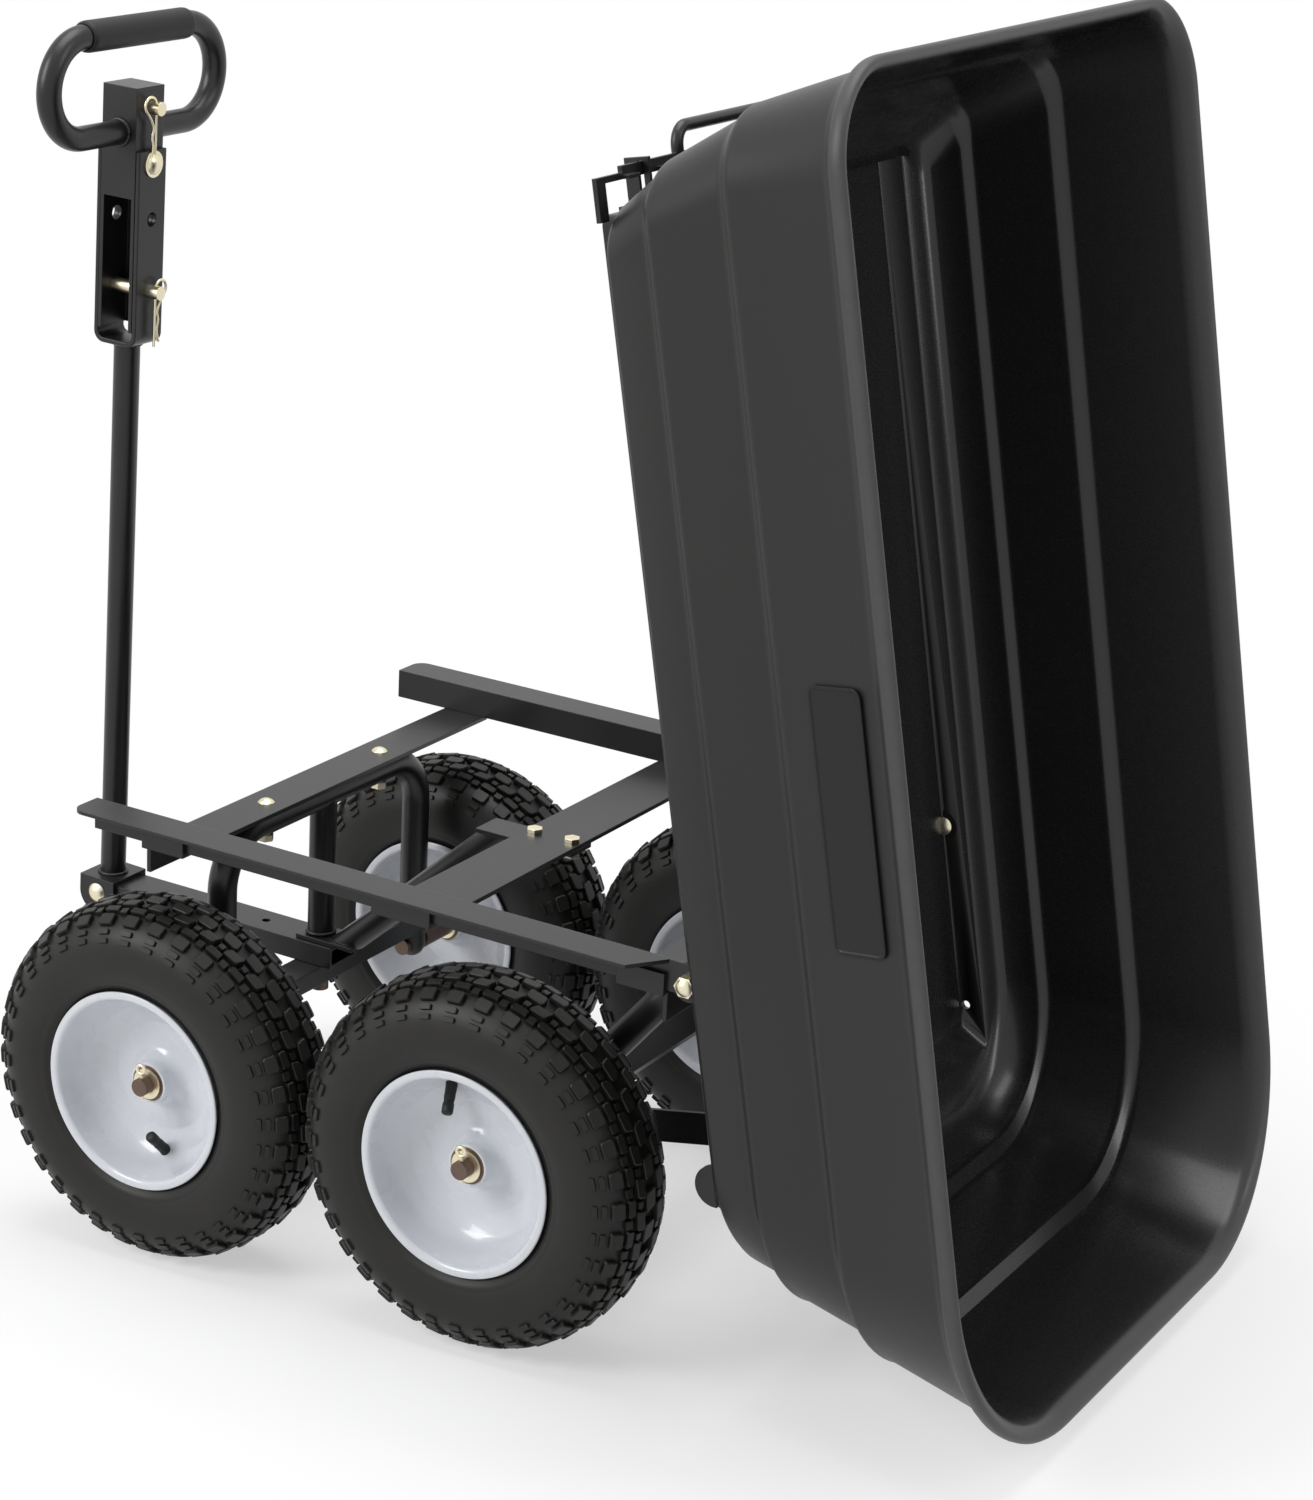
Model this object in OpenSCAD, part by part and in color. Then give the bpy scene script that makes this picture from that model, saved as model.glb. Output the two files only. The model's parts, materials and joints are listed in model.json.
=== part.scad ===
/* [Stance] */
// Nose-up slope of the chassis over the ground, in degrees
stance = 3.34; // [2:0.01:5]
// Height of the rail tops above the ground, midway between the axles
rail_top = 395; // [390:1:405]
// Gap between the front and the rear tyres
wheel_gap = 6; // [4:1:20]
// Distance between the wheel planes
track = 460; // [456:1:490]

/* [Wheels] */
// Outer radius of the tyre
tyre_r = 164; // [158:1:165]
// Width of the tyre
tyre_w = 98; // [90:1:102]
// Thickness of the tyre's wall
tyre_wall = 7; // [5:0.5:10]
// Height of the tread's blocks
lug_h = 5; // [3:0.5:7]
// Number of tread blocks round the tyre
lug_count = 36; // [24:2:48]
// Radius of the rim's flanges
rim_r = 91; // [88:0.5:94]
// Sheet thickness of the rim
rim_t = 2.5; // [2:0.1:4]
// Width of the curved wall of the rim's bowl
bowl_w = 33; // [26:1:38]
// Radius of the wheel spindles
spindle_r = 8; // [6:0.5:10]
// Outer radius of the wheel bearings
bearing_r = 16; // [14:0.5:19]
// Width of each wheel bearing
bearing_w = 11; // [8:0.5:14]
// Length of the hub tube
hub_w = 46; // [40:1:50]
// Radius of the valve stem
valve_r = 4.2; // [3:0.1:6]

/* [Rails and crossbars] */
// Gap between the two side rails
rail_gap = 456; // [450:1:470]
// Width of the rails' top flange
rail_flange = 35; // [30:1:45]
// Depth of the rails' upright flange
rail_depth = 27; // [25:1:32]
// Thickness of the rails' steel
rail_t = 3.2; // [2.5:0.1:4]
// Length of the rails ahead of mid wheelbase
rail_front = 230; // [215:1:240]
// Length of the rails behind mid wheelbase, without the pivot ears
rail_back = 350; // [340:1:356]
// Width of the front and rear crossbars
bar_w = 44; // [38:1:50]
// Width of the middle crossbar
mid_bar_w = 58; // [54:1:66]
// Thickness of the crossbars
bar_t = 4; // [3:0.5:6]
// Place of the middle crossbar behind mid wheelbase
mid_bar_x = 94; // [86:1:100]

/* [Axle frames] */
// Radius of the hoop tube
hoop_r = 13; // [11:0.5:14]
// Wall of the steel tubes
tube_wall = 2.5; // [1.5:0.5:4]
// Gap between each hoop leg and the tyre beside it
leg_gap = 18; // [8:1:26]
// Bend radius of the hoops, at the tube's centre line
hoop_bend = 50; // [40:1:60]
// Height of the axle beams
beam_h = 18; // [14:1:22]
// Depth of the axle beams from front to back
beam_d = 30; // [26:1:36]
// Height of the axle beams over the spindles
beam_rise = 26; // [24:1:32]
// Radius of the kingpin
kingpin_r = 8; // [6:0.5:10]
// Radius of the kingpin post and of the brace tube
post_r = 12.5; // [11:0.5:14]

/* [Tongue and handle] */
// Width of the tongue
tongue_w = 40; // [36:1:44]
// Height of the tongue
tongue_h = 20; // [18:1:24]
// Place of the handle's hinge bolt ahead of mid wheelbase
yoke_x = 399; // [385:1:420]
// Backward lean of the upright handle from square to the tongue, in degrees
handle_lean = 1.8; // [0:0.1:4]
// Length of the handle from its hinge bolt to the clevis
shaft_len = 535; // [450:1:600]
// Radius of the handle shaft
shaft_r = 12; // [10:0.5:14]
// Height of the clevis
clevis_h = 178; // [170:1:200]
// Width of the clevis plates and of the hitch block
block_w = 38; // [34:1:44]
// Height of the hitch block
block_h = 220; // [210:1:230]
// Radius of the hitch pins
hitch_r = 6.3; // [5:0.1:8]
// Outer width of the grip loop, at the tube's centre line
loop_w = 230; // [210:1:260]
// Height of the grip loop, at the tube's centre line
loop_h = 88; // [76:1:96]
// Radius of the grip loop tube
loop_r = 11; // [9:0.5:12]
// Radius of the grip sleeve
sleeve_r = 14; // [13:0.5:17]

/* [Tub] */
// Angle between the tub's level place and its tipped place, in degrees
tip = 79.06; // [60:0.01:79.2]
// Place of the tub's pivot behind mid wheelbase
pivot_x = 366; // [362:1:372]
// Depth of the tub's pivot below the rail tops
pivot_drop = 17.4; // [15:0.1:19]
// Length of the tub's floor ahead of the pivot
floor_front = 607; // [600:1:615]
// Length of the tub's floor behind the pivot
floor_back = 255; // [245:1:262]
// Half the width of the tub's floor
floor_half = 258; // [250:1:264]
// Depth of the tub from its base to the top of the lip
tub_depth = 237; // [220:1:240]
// Spread of the handle end from the floor to the lip
spread_front = 97; // [80:1:110]
// Spread of the dump end from the floor to the lip
spread_back = 121; // [110:1:138]
// Spread of each side from the floor to the lip
spread_side = 57; // [45:1:65]
// Corner radius of the lip at the handle end
corner_front = 78; // [60:1:110]
// Corner radius of the floor at the handle end
corner_front_low = 38; // [30:1:60]
// Corner radius of the lip at the dump end
corner_back = 165; // [120:1:180]
// Corner radius of the floor at the dump end
corner_back_low = 112; // [90:1:120]
// Wall of the tub
tub_wall = 5; // [4:0.5:7]
// Depth of the sunk floor panel between the rails
sunk_depth = 22.5; // [20:0.5:23]
// Gap between the sunk floor panel and each rail
sunk_gap = 4; // [3:0.5:8]

/* [Latch] */
// Radius of the latch's pull rod
pull_r = 5; // [4:0.5:6]
// Half the width of the latch's pull loop
pull_half = 125; // [100:1:140]
// Reach of the pull loop beyond the latch strap
pull_reach = 19; // [18:1:30]
// Travel of the latch
latch_travel = 14; // [10:0.5:15]

/* [Hidden] */
$fn = 48;
// Overrun of every cut
over = 1;
// Running clearance of a pin in its bore
running = 0.05;
// Clearance of a bolt in its hole, and of seated pieces
seat = 0.1;
// Gap between faces that slide past each other
slide_gap = 0.3;
// Gap that the resting tub keeps over the rails and crossbars
rest_gap = 0.6;
// Radius of the frame bolts and of the pivot and hinge bolts
bolt_r = 4;
pivot_r = 5;
// Head and nut sizes, as shares of their bolt's radius
head_share = 1.9;
head_high_share = 0.9;
nut_share = 1.85;
nut_high_share = 1.5;

// Chassis places: x behind mid wheelbase, z over the rail tops
wheelbase = 2 * tyre_r + wheel_gap;
leg_y = track / 2 - tyre_w / 2 - leg_gap - hoop_r;
axle_drop = rail_top - tyre_r;
front_x = axle_drop * sin(stance) - wheelbase / 2 * cos(stance);
front_z = -axle_drop * cos(stance) - wheelbase / 2 * sin(stance);
rear_x = axle_drop * sin(stance) + wheelbase / 2 * cos(stance);
rear_z = wheelbase / 2 * sin(stance) - axle_drop * cos(stance);
bar_top = -rail_depth;
bar_under = bar_top - bar_t;
hoop_z = bar_under - hoop_r;
rear_bar_x = rail_back - bar_w / 2 - bar_t;
rear_run = rear_bar_x - rear_x;
rear_fall = hoop_z - rear_z;
rear_slope = atan2(rear_run, rear_fall);
front_drop = hoop_z - front_z;
rear_drop = norm([rear_run, rear_fall]);
hoop_bolt_y = leg_y - hoop_bend - pivot_r - head_share * bolt_r;
beam_top = front_z + beam_rise + beam_h / 2;
tongue_z = beam_top + slide_gap + tongue_h / 2;
brace_t = 4;
brace_bolt_x = mid_bar_w / 3;
brace_low = tongue_z + tongue_h / 2 + slide_gap;
post_low = brace_low + brace_t;
tab_t = 4;
tab_h = 15;
bar_half = rail_gap / 2 + rail_t + tab_t;
angle_h = 28;
ear_r = 15;
rail_corner = 12;
rail_chamfer = 24;
arm_h = 28;
arm_slope = 12;

// Wheel sizes: y out from the wheel plane
section_mid = 118;
carcass_high = tyre_r - lug_h - section_mid;
section_wide = tyre_w / 2;
section_steps = 22;
bead_angle = 48;
side_share = 0.62;
crown_share = 0.8;
bead_r = section_r(-bead_angle, carcass_high);
lug_sink = 1.5;
lug_turn_share = 0.62;
// Rows of tread blocks: the angles of the section that each spans, and its shift round the tyre
lug_rows = [[38, 56, 0.5], [61, 74, 0.25], [80, 100, 0], [106, 119, 0.25], [124, 142, 0.5]];
flange_angle = asin(pow((section_mid - rim_r) / carcass_high, 1 / crown_share));
flange_y = section_y(-flange_angle, section_wide) + slide_gap;
rim_seat_r = bead_r - slide_gap;
rim_edge_share = 1.6;
bowl_weld_angle = 75;
bowl_step = 15;
bearing_seat = hub_w / 2 - bearing_w;
hub_r = bearing_r + seat + rim_t;
hub_fillet = 14;
valve_angle = 50;
valve_len = 31;
valve_cap = 9;
cap_share = 0.85;
washer_t = 2;
washer_r = 14;
pin_wire = 1.6;
pin_eye_share = 2.5;
pin_tail_share = 1.4;
spindle_end = track / 2 + hub_w / 2 + slide_gap + washer_t + 4 * pin_wire;

// Handle places: z up the shaft from the hinge bolt
tongue_wall = 3;
yoke_t = 4;
yoke_half = 20;
yoke_round_share = 0.8;
yoke_gap = tongue_w / 2 + slide_gap;
yoke_roof = tongue_h / 2 / cos(handle_lean) + yoke_half * tan(handle_lean) + slide_gap;
clevis_t = 4.5;
clevis_gap = block_w / 2 + slide_gap;
clevis_top = shaft_len + clevis_h;
clevis_end = 12;
clevis_bolt_z = clevis_top - clevis_end;
hitch_step = 50;
hitch_drop = 115;
lower_pin_z = clevis_bolt_z - hitch_drop;
middle_z = clevis_bolt_z - hitch_step;
upper_pin_z = clevis_bolt_z + hitch_step;
block_rise = 14;
block_z = shaft_len + block_rise;
block_wall = 3.5;
channel_top = middle_z + block_w / 2;
loop_rise = 27;
loop_z = clevis_bolt_z + loop_rise;
washer_thin = 1.6;
sleeve_round = 2.2;
pin_over = 13;
pin_head_share = 1.5;
hairpin_drop = 30;
hairpin_share = 0.75;

// Tub places: x from the pivot towards the dump end, z up from the pivot
base_z = pivot_drop + rest_gap;
sunk_half = rail_gap / 2 - sunk_gap;
sunk_z = base_z - sunk_depth - rest_gap / 2;
lip_z = base_z + tub_depth;
sunk_front = floor_front - tub_wall;
sunk_short = 63;
sunk_back = floor_back - sunk_short;
sunk_rise = 16;
pivot_head_y = sunk_half - tub_wall - slide_gap;
pivot_room_r = head_share * pivot_r + slide_gap;
cap_nut_share = 0.8;
bush_r = ear_r - tab_t;
foot_r = 18;
foot_t = 4;
// Levels of the tub's wall, as shares: height, then the spread of the sides, the handle end, the dump end
outer_shares = [[0, 0, 0, 0], [0.02, 0.03, 0.04, 0.03], [0.165, 0.12, 0.27, 0.135],
    [0.19, 0.2, 0.33, 0.225], [0.2, 0.225, 0.35, 0.255], [0.49, 0.41, 0.64, 0.465],
    [0.52, 0.49, 0.7, 0.555], [0.53, 0.52, 0.715, 0.59], [0.9, 0.84, 0.9, 0.87], [0.93, 0.9, 0.93, 0.91]];
lip_shares = [[0.945, 0.965, 0.97, 0.965], [0.965, 0.995, 0.995, 0.995], [0.985, 1, 1, 1],
    [0.997, 0.985, 0.985, 0.985], [1, 0.955, 0.965, 0.955], [0.995, 0.92, 0.94, 0.925]];
// Levels of the inner wall near the floor, and the inset of the floor's edge in walls
foot_shares = [0.055, 0.04, 0.08, 0.045];
floor_shares = [tub_wall / tub_depth, 0, 0, 0];
floor_edge_share = 1.6;
inner_low_share = 0.1;
corner_steps = 12;
ring_count = 4 * (corner_steps + 1);

// Latch places, in the tub's own places
strap_t = 4;
strap_w = 10;
strap_z = 8;
strap_half = 211;
strap_out = 20;
strap_x = -floor_front - strap_out;
lip_reach = 28;
lip_in = 5;
lip_y = rail_gap / 2 + rail_t + lip_in;
lip_w = 12;
guide_y = 180;
guide_t = 3;
guide_drop = 12;
guide_front = strap_w + guide_t + seat;
fence_h = 9.5;
fence_half = 160;
fence_t = 3;

// Origin: the middle of the footprint, on the ground
tilt = stance + tip;
pivot_gx = pivot_x * cos(stance) - pivot_drop * sin(stance);
lip_x = pivot_gx + (floor_back + spread_back) * cos(tilt) + lip_z * sin(tilt);
nose_x = yoke_x * cos(stance) - tongue_z * sin(stance) + yoke_half;
origin_x = (lip_x - nose_x) / 2;

black_steel = [0.09, 0.09, 0.1];
zinc = [0.82, 0.78, 0.6];
white_paint = [0.93, 0.94, 0.96];
rubber = [0.08, 0.08, 0.08];
black_poly = [0.2, 0.2, 0.21];
bare_steel = [0.35, 0.3, 0.28];

function signed_pow(v, share) = sign(v) * pow(abs(v), share);
function section_r(a, high) = section_mid + high * signed_pow(sin(a), crown_share);
function section_y(a, wide) = wide * signed_pow(cos(a), side_share);
function section(high, wide) = [for (i = [0 : section_steps])
    let (a = -bead_angle + i * (180 + 2 * bead_angle) / section_steps)
    [section_r(a, high), section_y(a, wide)]];
function reversed(list) = [for (i = [len(list) - 1 : -1 : 0]) list[i]];
function arc(x, y, r, from, to, steps) = [for (i = [0 : steps])
    let (a = from + (to - from) * i / steps) [x + r * cos(a), y + r * sin(a)]];

// Poses and repeats
module on_chassis() {
    translate([-origin_x, 0, rail_top]) rotate([0, stance, 0]) children();
}

module on_tub() {
    on_chassis() translate([pivot_x, 0, -pivot_drop]) rotate([0, tip, 0]) children();
}

module on_handle() {
    on_chassis() translate([-yoke_x, 0, tongue_z]) rotate([0, handle_lean, 0]) children();
}

module at_wheel(end, side) {
    translate([end * wheelbase / 2 - origin_x, side * track / 2, tyre_r])
        mirror([0, side < 0 ? 1 : 0, 0]) children();
}

module both_sides() {
    children();
    mirror([0, 1, 0]) children();
}

module along_y(from, to, r) {
    translate([0, from, 0]) rotate([-90, 0, 0]) cylinder(r = r, h = to - from);
}

module along_x(from, to, r) {
    translate([from, 0, 0]) rotate([0, 90, 0]) cylinder(r = r, h = to - from);
}

module along_z(from, to, r) {
    translate([0, 0, from]) cylinder(r = r, h = to - from);
}

// A side outline, drawn in x and z, with a thickness from y outwards
module side_plate(y, thick) {
    translate([0, y + thick, 0]) rotate([90, 0, 0]) linear_extrude(thick) children();
}

module box(x, y, z) {
    translate([x[0], y[0], z[0]]) cube([x[1] - x[0], y[1] - y[0], z[1] - z[0]]);
}

// Fasteners: axis along z, the seat at z = 0
module dome_head(r) {
    wide = head_share * r;
    high = head_high_share * r;
    ball = (wide * wide + high * high) / high / 2;
    intersection() {
        along_z(0, high + over, wide + over);
        translate([0, 0, high - ball]) sphere(r = ball);
    }
}

module hex_nut(r) {
    difference() {
        cylinder(r = nut_share * r, h = nut_high_share * r, $fn = 6);
        along_z(-over, nut_high_share * r + over, r + seat);
    }
}

module hex_head(r) {
    cylinder(r = nut_share * r, h = head_high_share * r, $fn = 6);
}

// Chassis rails: angle iron, top flange outwards, with the tub's pivot ear at the dump end
module rail_outline() {
    inner = rail_gap / 2;
    outer = inner + rail_flange;
    polygon(concat([[-rail_front, inner], [rail_back, inner], [rail_back - rail_chamfer, outer]],
        arc(-rail_front + rail_corner, outer - rail_corner, rail_corner, 90, 180, 6)));
}

module rail() {
    difference() {
        union() {
            translate([0, 0, -rail_t]) linear_extrude(rail_t) rail_outline();
            side_plate(rail_gap / 2, rail_t) {
                translate([-rail_front, -rail_depth]) square([rail_front + pivot_x, rail_depth]);
                translate([pivot_x, -pivot_drop]) circle(r = ear_r);
            }
        }
        translate([pivot_x, 0, -pivot_drop])
            along_y(rail_gap / 2 - over, rail_gap / 2 + rail_t + over, pivot_r + seat);
    }
}

module left_rail() {
    color(black_steel) on_chassis() mirror([0, 1, 0]) rail();
}

module right_rail() {
    color(black_steel) on_chassis() rail();
}

// Crossbars lie under the rails, with end tabs turned up outside them
module crossbar(width) {
    box([-width / 2, width / 2], [-bar_half, bar_half], [bar_under, bar_top]);
    both_sides() box([-width / 2, width / 2], [bar_half - tab_t, bar_half], [bar_under, bar_top + tab_h]);
}

module angle_bar(front) {
    edge = front * (bar_w - bar_t) / 2;
    difference() {
        union() {
            crossbar(bar_w);
            translate([edge, 0, 0])
                box([-bar_t / 2, bar_t / 2], [-rail_gap / 2, rail_gap / 2], [bar_top - angle_h, bar_top]);
        }
        both_sides() translate([0, hoop_bolt_y, 0]) along_z(bar_under - over, bar_top + over, bolt_r + seat);
    }
}

module front_crossbar() {
    color(black_steel) on_chassis() translate([front_x, 0, 0]) angle_bar(-1);
}

module rear_crossbar() {
    color(black_steel) on_chassis() translate([rear_bar_x, 0, 0]) angle_bar(1);
}

module middle_crossbar() {
    color(black_steel) on_chassis() translate([mid_bar_x, 0, 0]) difference() {
        crossbar(mid_bar_w);
        for (x = [-brace_bolt_x, brace_bolt_x]) translate([x, 0, 0])
            along_z(bar_under - over, bar_top + over, bolt_r + seat);
    }
}

// Hoops: bent tube, top run at z = 0, legs down to the spindles
module hoop_sweep(r, drop) {
    run = leg_y - hoop_bend;
    along_y(-run, run, r);
    both_sides() {
        translate([0, run, -hoop_bend]) rotate([90, 0, 90])
            rotate_extrude(angle = 90) translate([hoop_bend, 0]) circle(r = r);
        translate([0, leg_y, 0]) along_z(-drop, -hoop_bend, r);
    }
}

module hoop(drop) {
    difference() {
        union() {
            hoop_sweep(hoop_r, drop);
            both_sides() translate([0, leg_y, -drop]) sphere(r = hoop_r);
        }
        hoop_sweep(hoop_r - tube_wall, drop);
        translate([0, 0, -drop])
            along_y(-leg_y - hoop_r - over, leg_y + hoop_r + over, spindle_r + seat);
    }
}

module at_front_hoop() {
    on_chassis() translate([front_x, 0, hoop_z]) children();
}

module at_rear_hoop() {
    on_chassis() translate([rear_bar_x, 0, hoop_z]) rotate([0, rear_slope, 0]) children();
}

// Upright holes of the hoop bolts, square to the crossbars
module hoop_bolt_holes() {
    both_sides() translate([0, hoop_bolt_y, 0]) along_z(-hoop_r - over, hoop_r + over, bolt_r + seat);
}

module front_hoop() {
    color(black_steel) difference() {
        at_front_hoop() hoop(front_drop);
        at_front_hoop() hoop_bolt_holes();
    }
}

module rear_hoop() {
    color(black_steel) difference() {
        at_rear_hoop() hoop(rear_drop);
        on_chassis() translate([rear_bar_x, 0, hoop_z]) hoop_bolt_holes();
    }
}

module hoop_bolt() {
    translate([0, hoop_bolt_y, bar_top]) dome_head(bolt_r);
    translate([0, hoop_bolt_y, 0])
        along_z(hoop_z - hoop_r - nut_high_share * bolt_r - over, bar_top, bolt_r);
}

module hoop_bolts() {
    color(zinc) on_chassis() for (x = [front_x, rear_bar_x]) translate([x, 0, 0]) both_sides() hoop_bolt();
}

module brace_bolts() {
    color(zinc) on_chassis() for (x = [-brace_bolt_x, brace_bolt_x]) translate([mid_bar_x + x, 0, bar_top]) {
        hex_head(bolt_r);
        along_z(-bar_t - brace_t - nut_high_share * bolt_r - over, 0, bolt_r);
    }
}

module frame_nuts() {
    nut_h = nut_high_share * bolt_r;
    color(zinc) on_chassis() {
        for (x = [front_x, rear_bar_x]) translate([x, 0, 0]) both_sides()
            translate([0, hoop_bolt_y, hoop_z - hoop_r - nut_h]) hex_nut(bolt_r);
        for (x = [-brace_bolt_x, brace_bolt_x])
            translate([mid_bar_x + x, 0, bar_under - brace_t - nut_h]) hex_nut(bolt_r);
    }
}

// Axle beams: a bar between the legs of each hoop, over the spindles
module axle_beam(drop) {
    difference() {
        translate([0, 0, beam_rise - drop])
            box([-beam_d / 2, beam_d / 2], [-leg_y, leg_y], [-beam_h / 2, beam_h / 2]);
        both_sides() translate([0, leg_y, 0]) along_z(-drop, -hoop_bend, hoop_r);
    }
}

module front_axle_beam() {
    color(black_steel) difference() {
        at_front_hoop() axle_beam(front_drop);
        on_chassis() translate([front_x, 0, 0])
            along_z(front_z, beam_top + over, kingpin_r + seat);
    }
}

module rear_axle_beam() {
    color(black_steel) at_rear_hoop() axle_beam(rear_drop);
}

// Kingpin: the tongue's pivot, in a post under the front hoop
module kingpin_post() {
    color(black_steel) on_chassis() translate([front_x, 0, 0]) difference() {
        along_z(post_low, hoop_z, post_r);
        translate([0, 0, hoop_z]) along_y(-post_r - over, post_r + over, hoop_r);
        along_z(post_low - over, hoop_z, kingpin_r + seat);
    }
}

module kingpin() {
    color(bare_steel) on_chassis() translate([front_x, 0, 0])
        along_z(front_z + kingpin_r / 2, hoop_z - hoop_r - kingpin_r, kingpin_r);
}

// Brace: a tube with flattened ends, from the foot of the post to the middle crossbar
module brace_plate(from, to, z, half) {
    translate([0, 0, z]) linear_extrude(brace_t) {
        translate([from, -half]) square([to - from, 2 * half]);
    }
}

module front_brace() {
    half = post_r + brace_t;
    foot_x = front_x + 2 * post_r + brace_t;
    head_x = mid_bar_x - mid_bar_w / 2 - 2 * post_r;
    head_z = bar_under - brace_t;
    rise = head_z - brace_low;
    run = head_x - foot_x;
    color(black_steel) on_chassis() difference() {
        union() {
            brace_plate(front_x - half, foot_x + half, brace_low, half);
            brace_plate(head_x - half, mid_bar_x + mid_bar_w / 2, head_z, half);
            intersection() {
                translate([foot_x, 0, brace_low]) rotate([0, atan2(run, rise), 0])
                    along_z(-post_r, norm([run, rise]) + post_r, post_r);
                box([front_x + post_r + over, mid_bar_x], [-half, half], [brace_low, bar_under]);
            }
        }
        translate([front_x, 0, 0]) along_z(brace_low - over, post_low + over, kingpin_r + seat);
        for (x = [-brace_bolt_x, brace_bolt_x]) translate([mid_bar_x + x, 0, 0])
            along_z(bar_under - brace_t - post_r, bar_under + over, bolt_r + seat);
    }
}

// Spindles: each runs through a hoop leg and carries a wheel
module spindle() {
    hub_in = track / 2 - hub_w / 2 - slide_gap;
    difference() {
        union() {
            along_y(leg_y - hoop_r - spindle_r / 2, spindle_end + spindle_r / 2, spindle_r);
            along_y(leg_y + hoop_r + seat, hub_in - washer_t - seat, spindle_r + rim_t);
        }
        translate([0, spindle_end, 0]) along_z(-spindle_r - over, spindle_r + over, pin_wire + seat);
    }
}

module at_axles(ends) {
    for (end = ends) translate([end * wheelbase / 2 - origin_x, 0, tyre_r]) both_sides() children();
}

module front_spindles() {
    color(bare_steel) at_axles([-1]) spindle();
}

module rear_spindles() {
    color(bare_steel) at_axles([1]) spindle();
}

module axle_washer(y) {
    difference() {
        along_y(y, y + washer_t, washer_r);
        along_y(y - over, y + washer_t + over, spindle_r + seat);
    }
}

module axle_washers() {
    color(zinc) at_axles([-1, 1]) {
        axle_washer(track / 2 + hub_w / 2 + slide_gap);
        axle_washer(track / 2 - hub_w / 2 - slide_gap - washer_t);
    }
}

module split_pin() {
    eye_r = pin_eye_share * pin_wire;
    translate([0, spindle_end, 0]) {
        along_z(-pin_tail_share * spindle_r, spindle_r + eye_r, pin_wire);
        translate([0, 0, spindle_r + 2 * eye_r]) rotate([90, 0, 0])
            rotate_extrude() translate([eye_r, 0]) circle(r = pin_wire);
    }
}

module split_pins() {
    color(zinc) at_axles([-1, 1]) split_pin();
}

// Stop arms: flat bars from the rear axle beam to the floor of the tipped tub
module tip_stop_arms() {
    arm_y = leg_y - hoop_r - 2 * bar_t;
    start_z = rear_z + beam_rise * cos(rear_slope) - beam_h / 2 - arm_h / 2;
    color(black_steel) difference() {
        on_chassis() both_sides() translate([rear_x, arm_y, start_z]) rotate([0, -arm_slope, 0])
            box([-beam_d / 2, floor_back], [-bar_t, 0], [-arm_h / 2, arm_h / 2]);
        at_rear_hoop() translate([0, 0, beam_rise - rear_drop])
            box([-beam_d / 2, beam_d / 2], [-leg_y, leg_y], [-beam_h / 2, beam_h / 2]);
        on_tub() box([-floor_front, 2 * floor_back], [-leg_y, leg_y], [sunk_z - rest_gap / 2, lip_z]);
    }
}

// Tub pivots: a bolt through each rail ear and the side of the sunk floor
module at_pivots() {
    on_chassis() translate([pivot_x, 0, -pivot_drop]) both_sides() children();
}

module pivot_bolts() {
    color(zinc) at_pivots() {
        translate([0, pivot_head_y, 0]) rotate([90, 0, 0]) dome_head(pivot_r);
        along_y(pivot_head_y, rail_gap / 2 + rail_t + nut_high_share * pivot_r, pivot_r);
    }
}

module pivot_nuts() {
    color(zinc) at_pivots() translate([0, rail_gap / 2 + rail_t, 0]) rotate([-90, 0, 0]) {
        hex_nut(pivot_r);
        translate([0, 0, nut_high_share * pivot_r]) dome_head(pivot_r * cap_nut_share);
    }
}

module pivot_bushes() {
    color(black_poly) at_pivots() difference() {
        along_y(sunk_half + slide_gap, rail_gap / 2 - seat, bush_r);
        along_y(sunk_half, rail_gap / 2 + over, pivot_r + seat);
    }
}

// Wheels: axis along y, outer face towards +y
function skin(a, lift) = [section_r(a, carcass_high + lift), section_y(a, section_wide + lift)];

// One block of the tread: a short turn of its outline between two angles of the section
module lug(from, to, turn) {
    wide = lug_turn_share * 360 / lug_count;
    crown = from < 90 && to > 90 ? [skin(90, lug_h)] : [];
    rotate([0, 0, turn - wide / 2]) rotate_extrude(angle = wide)
        polygon(concat([skin(from, -lug_sink), skin(from, lug_h)], crown,
            [skin(to, lug_h), skin(to, -lug_sink)]));
}

module tyre() {
    rotate([-90, 0, 0]) {
        rotate_extrude($fn = 96) polygon(concat(section(carcass_high, section_wide),
            reversed(section(carcass_high - tyre_wall, section_wide - tyre_wall))));
        for (row = lug_rows) for (i = [0 : lug_count - 1])
            lug(row[0], row[1], (i + row[2]) * 360 / lug_count);
    }
}

// Rim: two pressed bowls, back to back, on a hub tube; the wall of a bowl is a quarter of an ellipse
function bowl(a) = [rim_seat_r - bowl_w * (1 - cos(a)), flange_y * (1 - sin(a))];

function rim_half() =
    let (tube_r = bearing_r + seat)
    let (edge_r = rim_edge_share * rim_t)
    let (tip_r = rim_t / 2)
    concat([[tube_r - rim_t, bearing_seat], [tube_r, bearing_seat], [tube_r, hub_w / 2], [hub_r, hub_w / 2]],
        arc(hub_r + hub_fillet, rim_t + hub_fillet, hub_fillet, 180, 270, 5),
        [for (a = [90 : -bowl_step : bowl_step]) bowl(a) + [-rim_t, rim_t]],
        arc(rim_seat_r - rim_t + edge_r, flange_y + rim_t - edge_r, edge_r, 180, 90, 4),
        arc(rim_r - tip_r, flange_y + tip_r, tip_r, 90, -90, 4),
        [for (a = [0 : bowl_step : bowl_weld_angle]) bowl(a)]);

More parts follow.
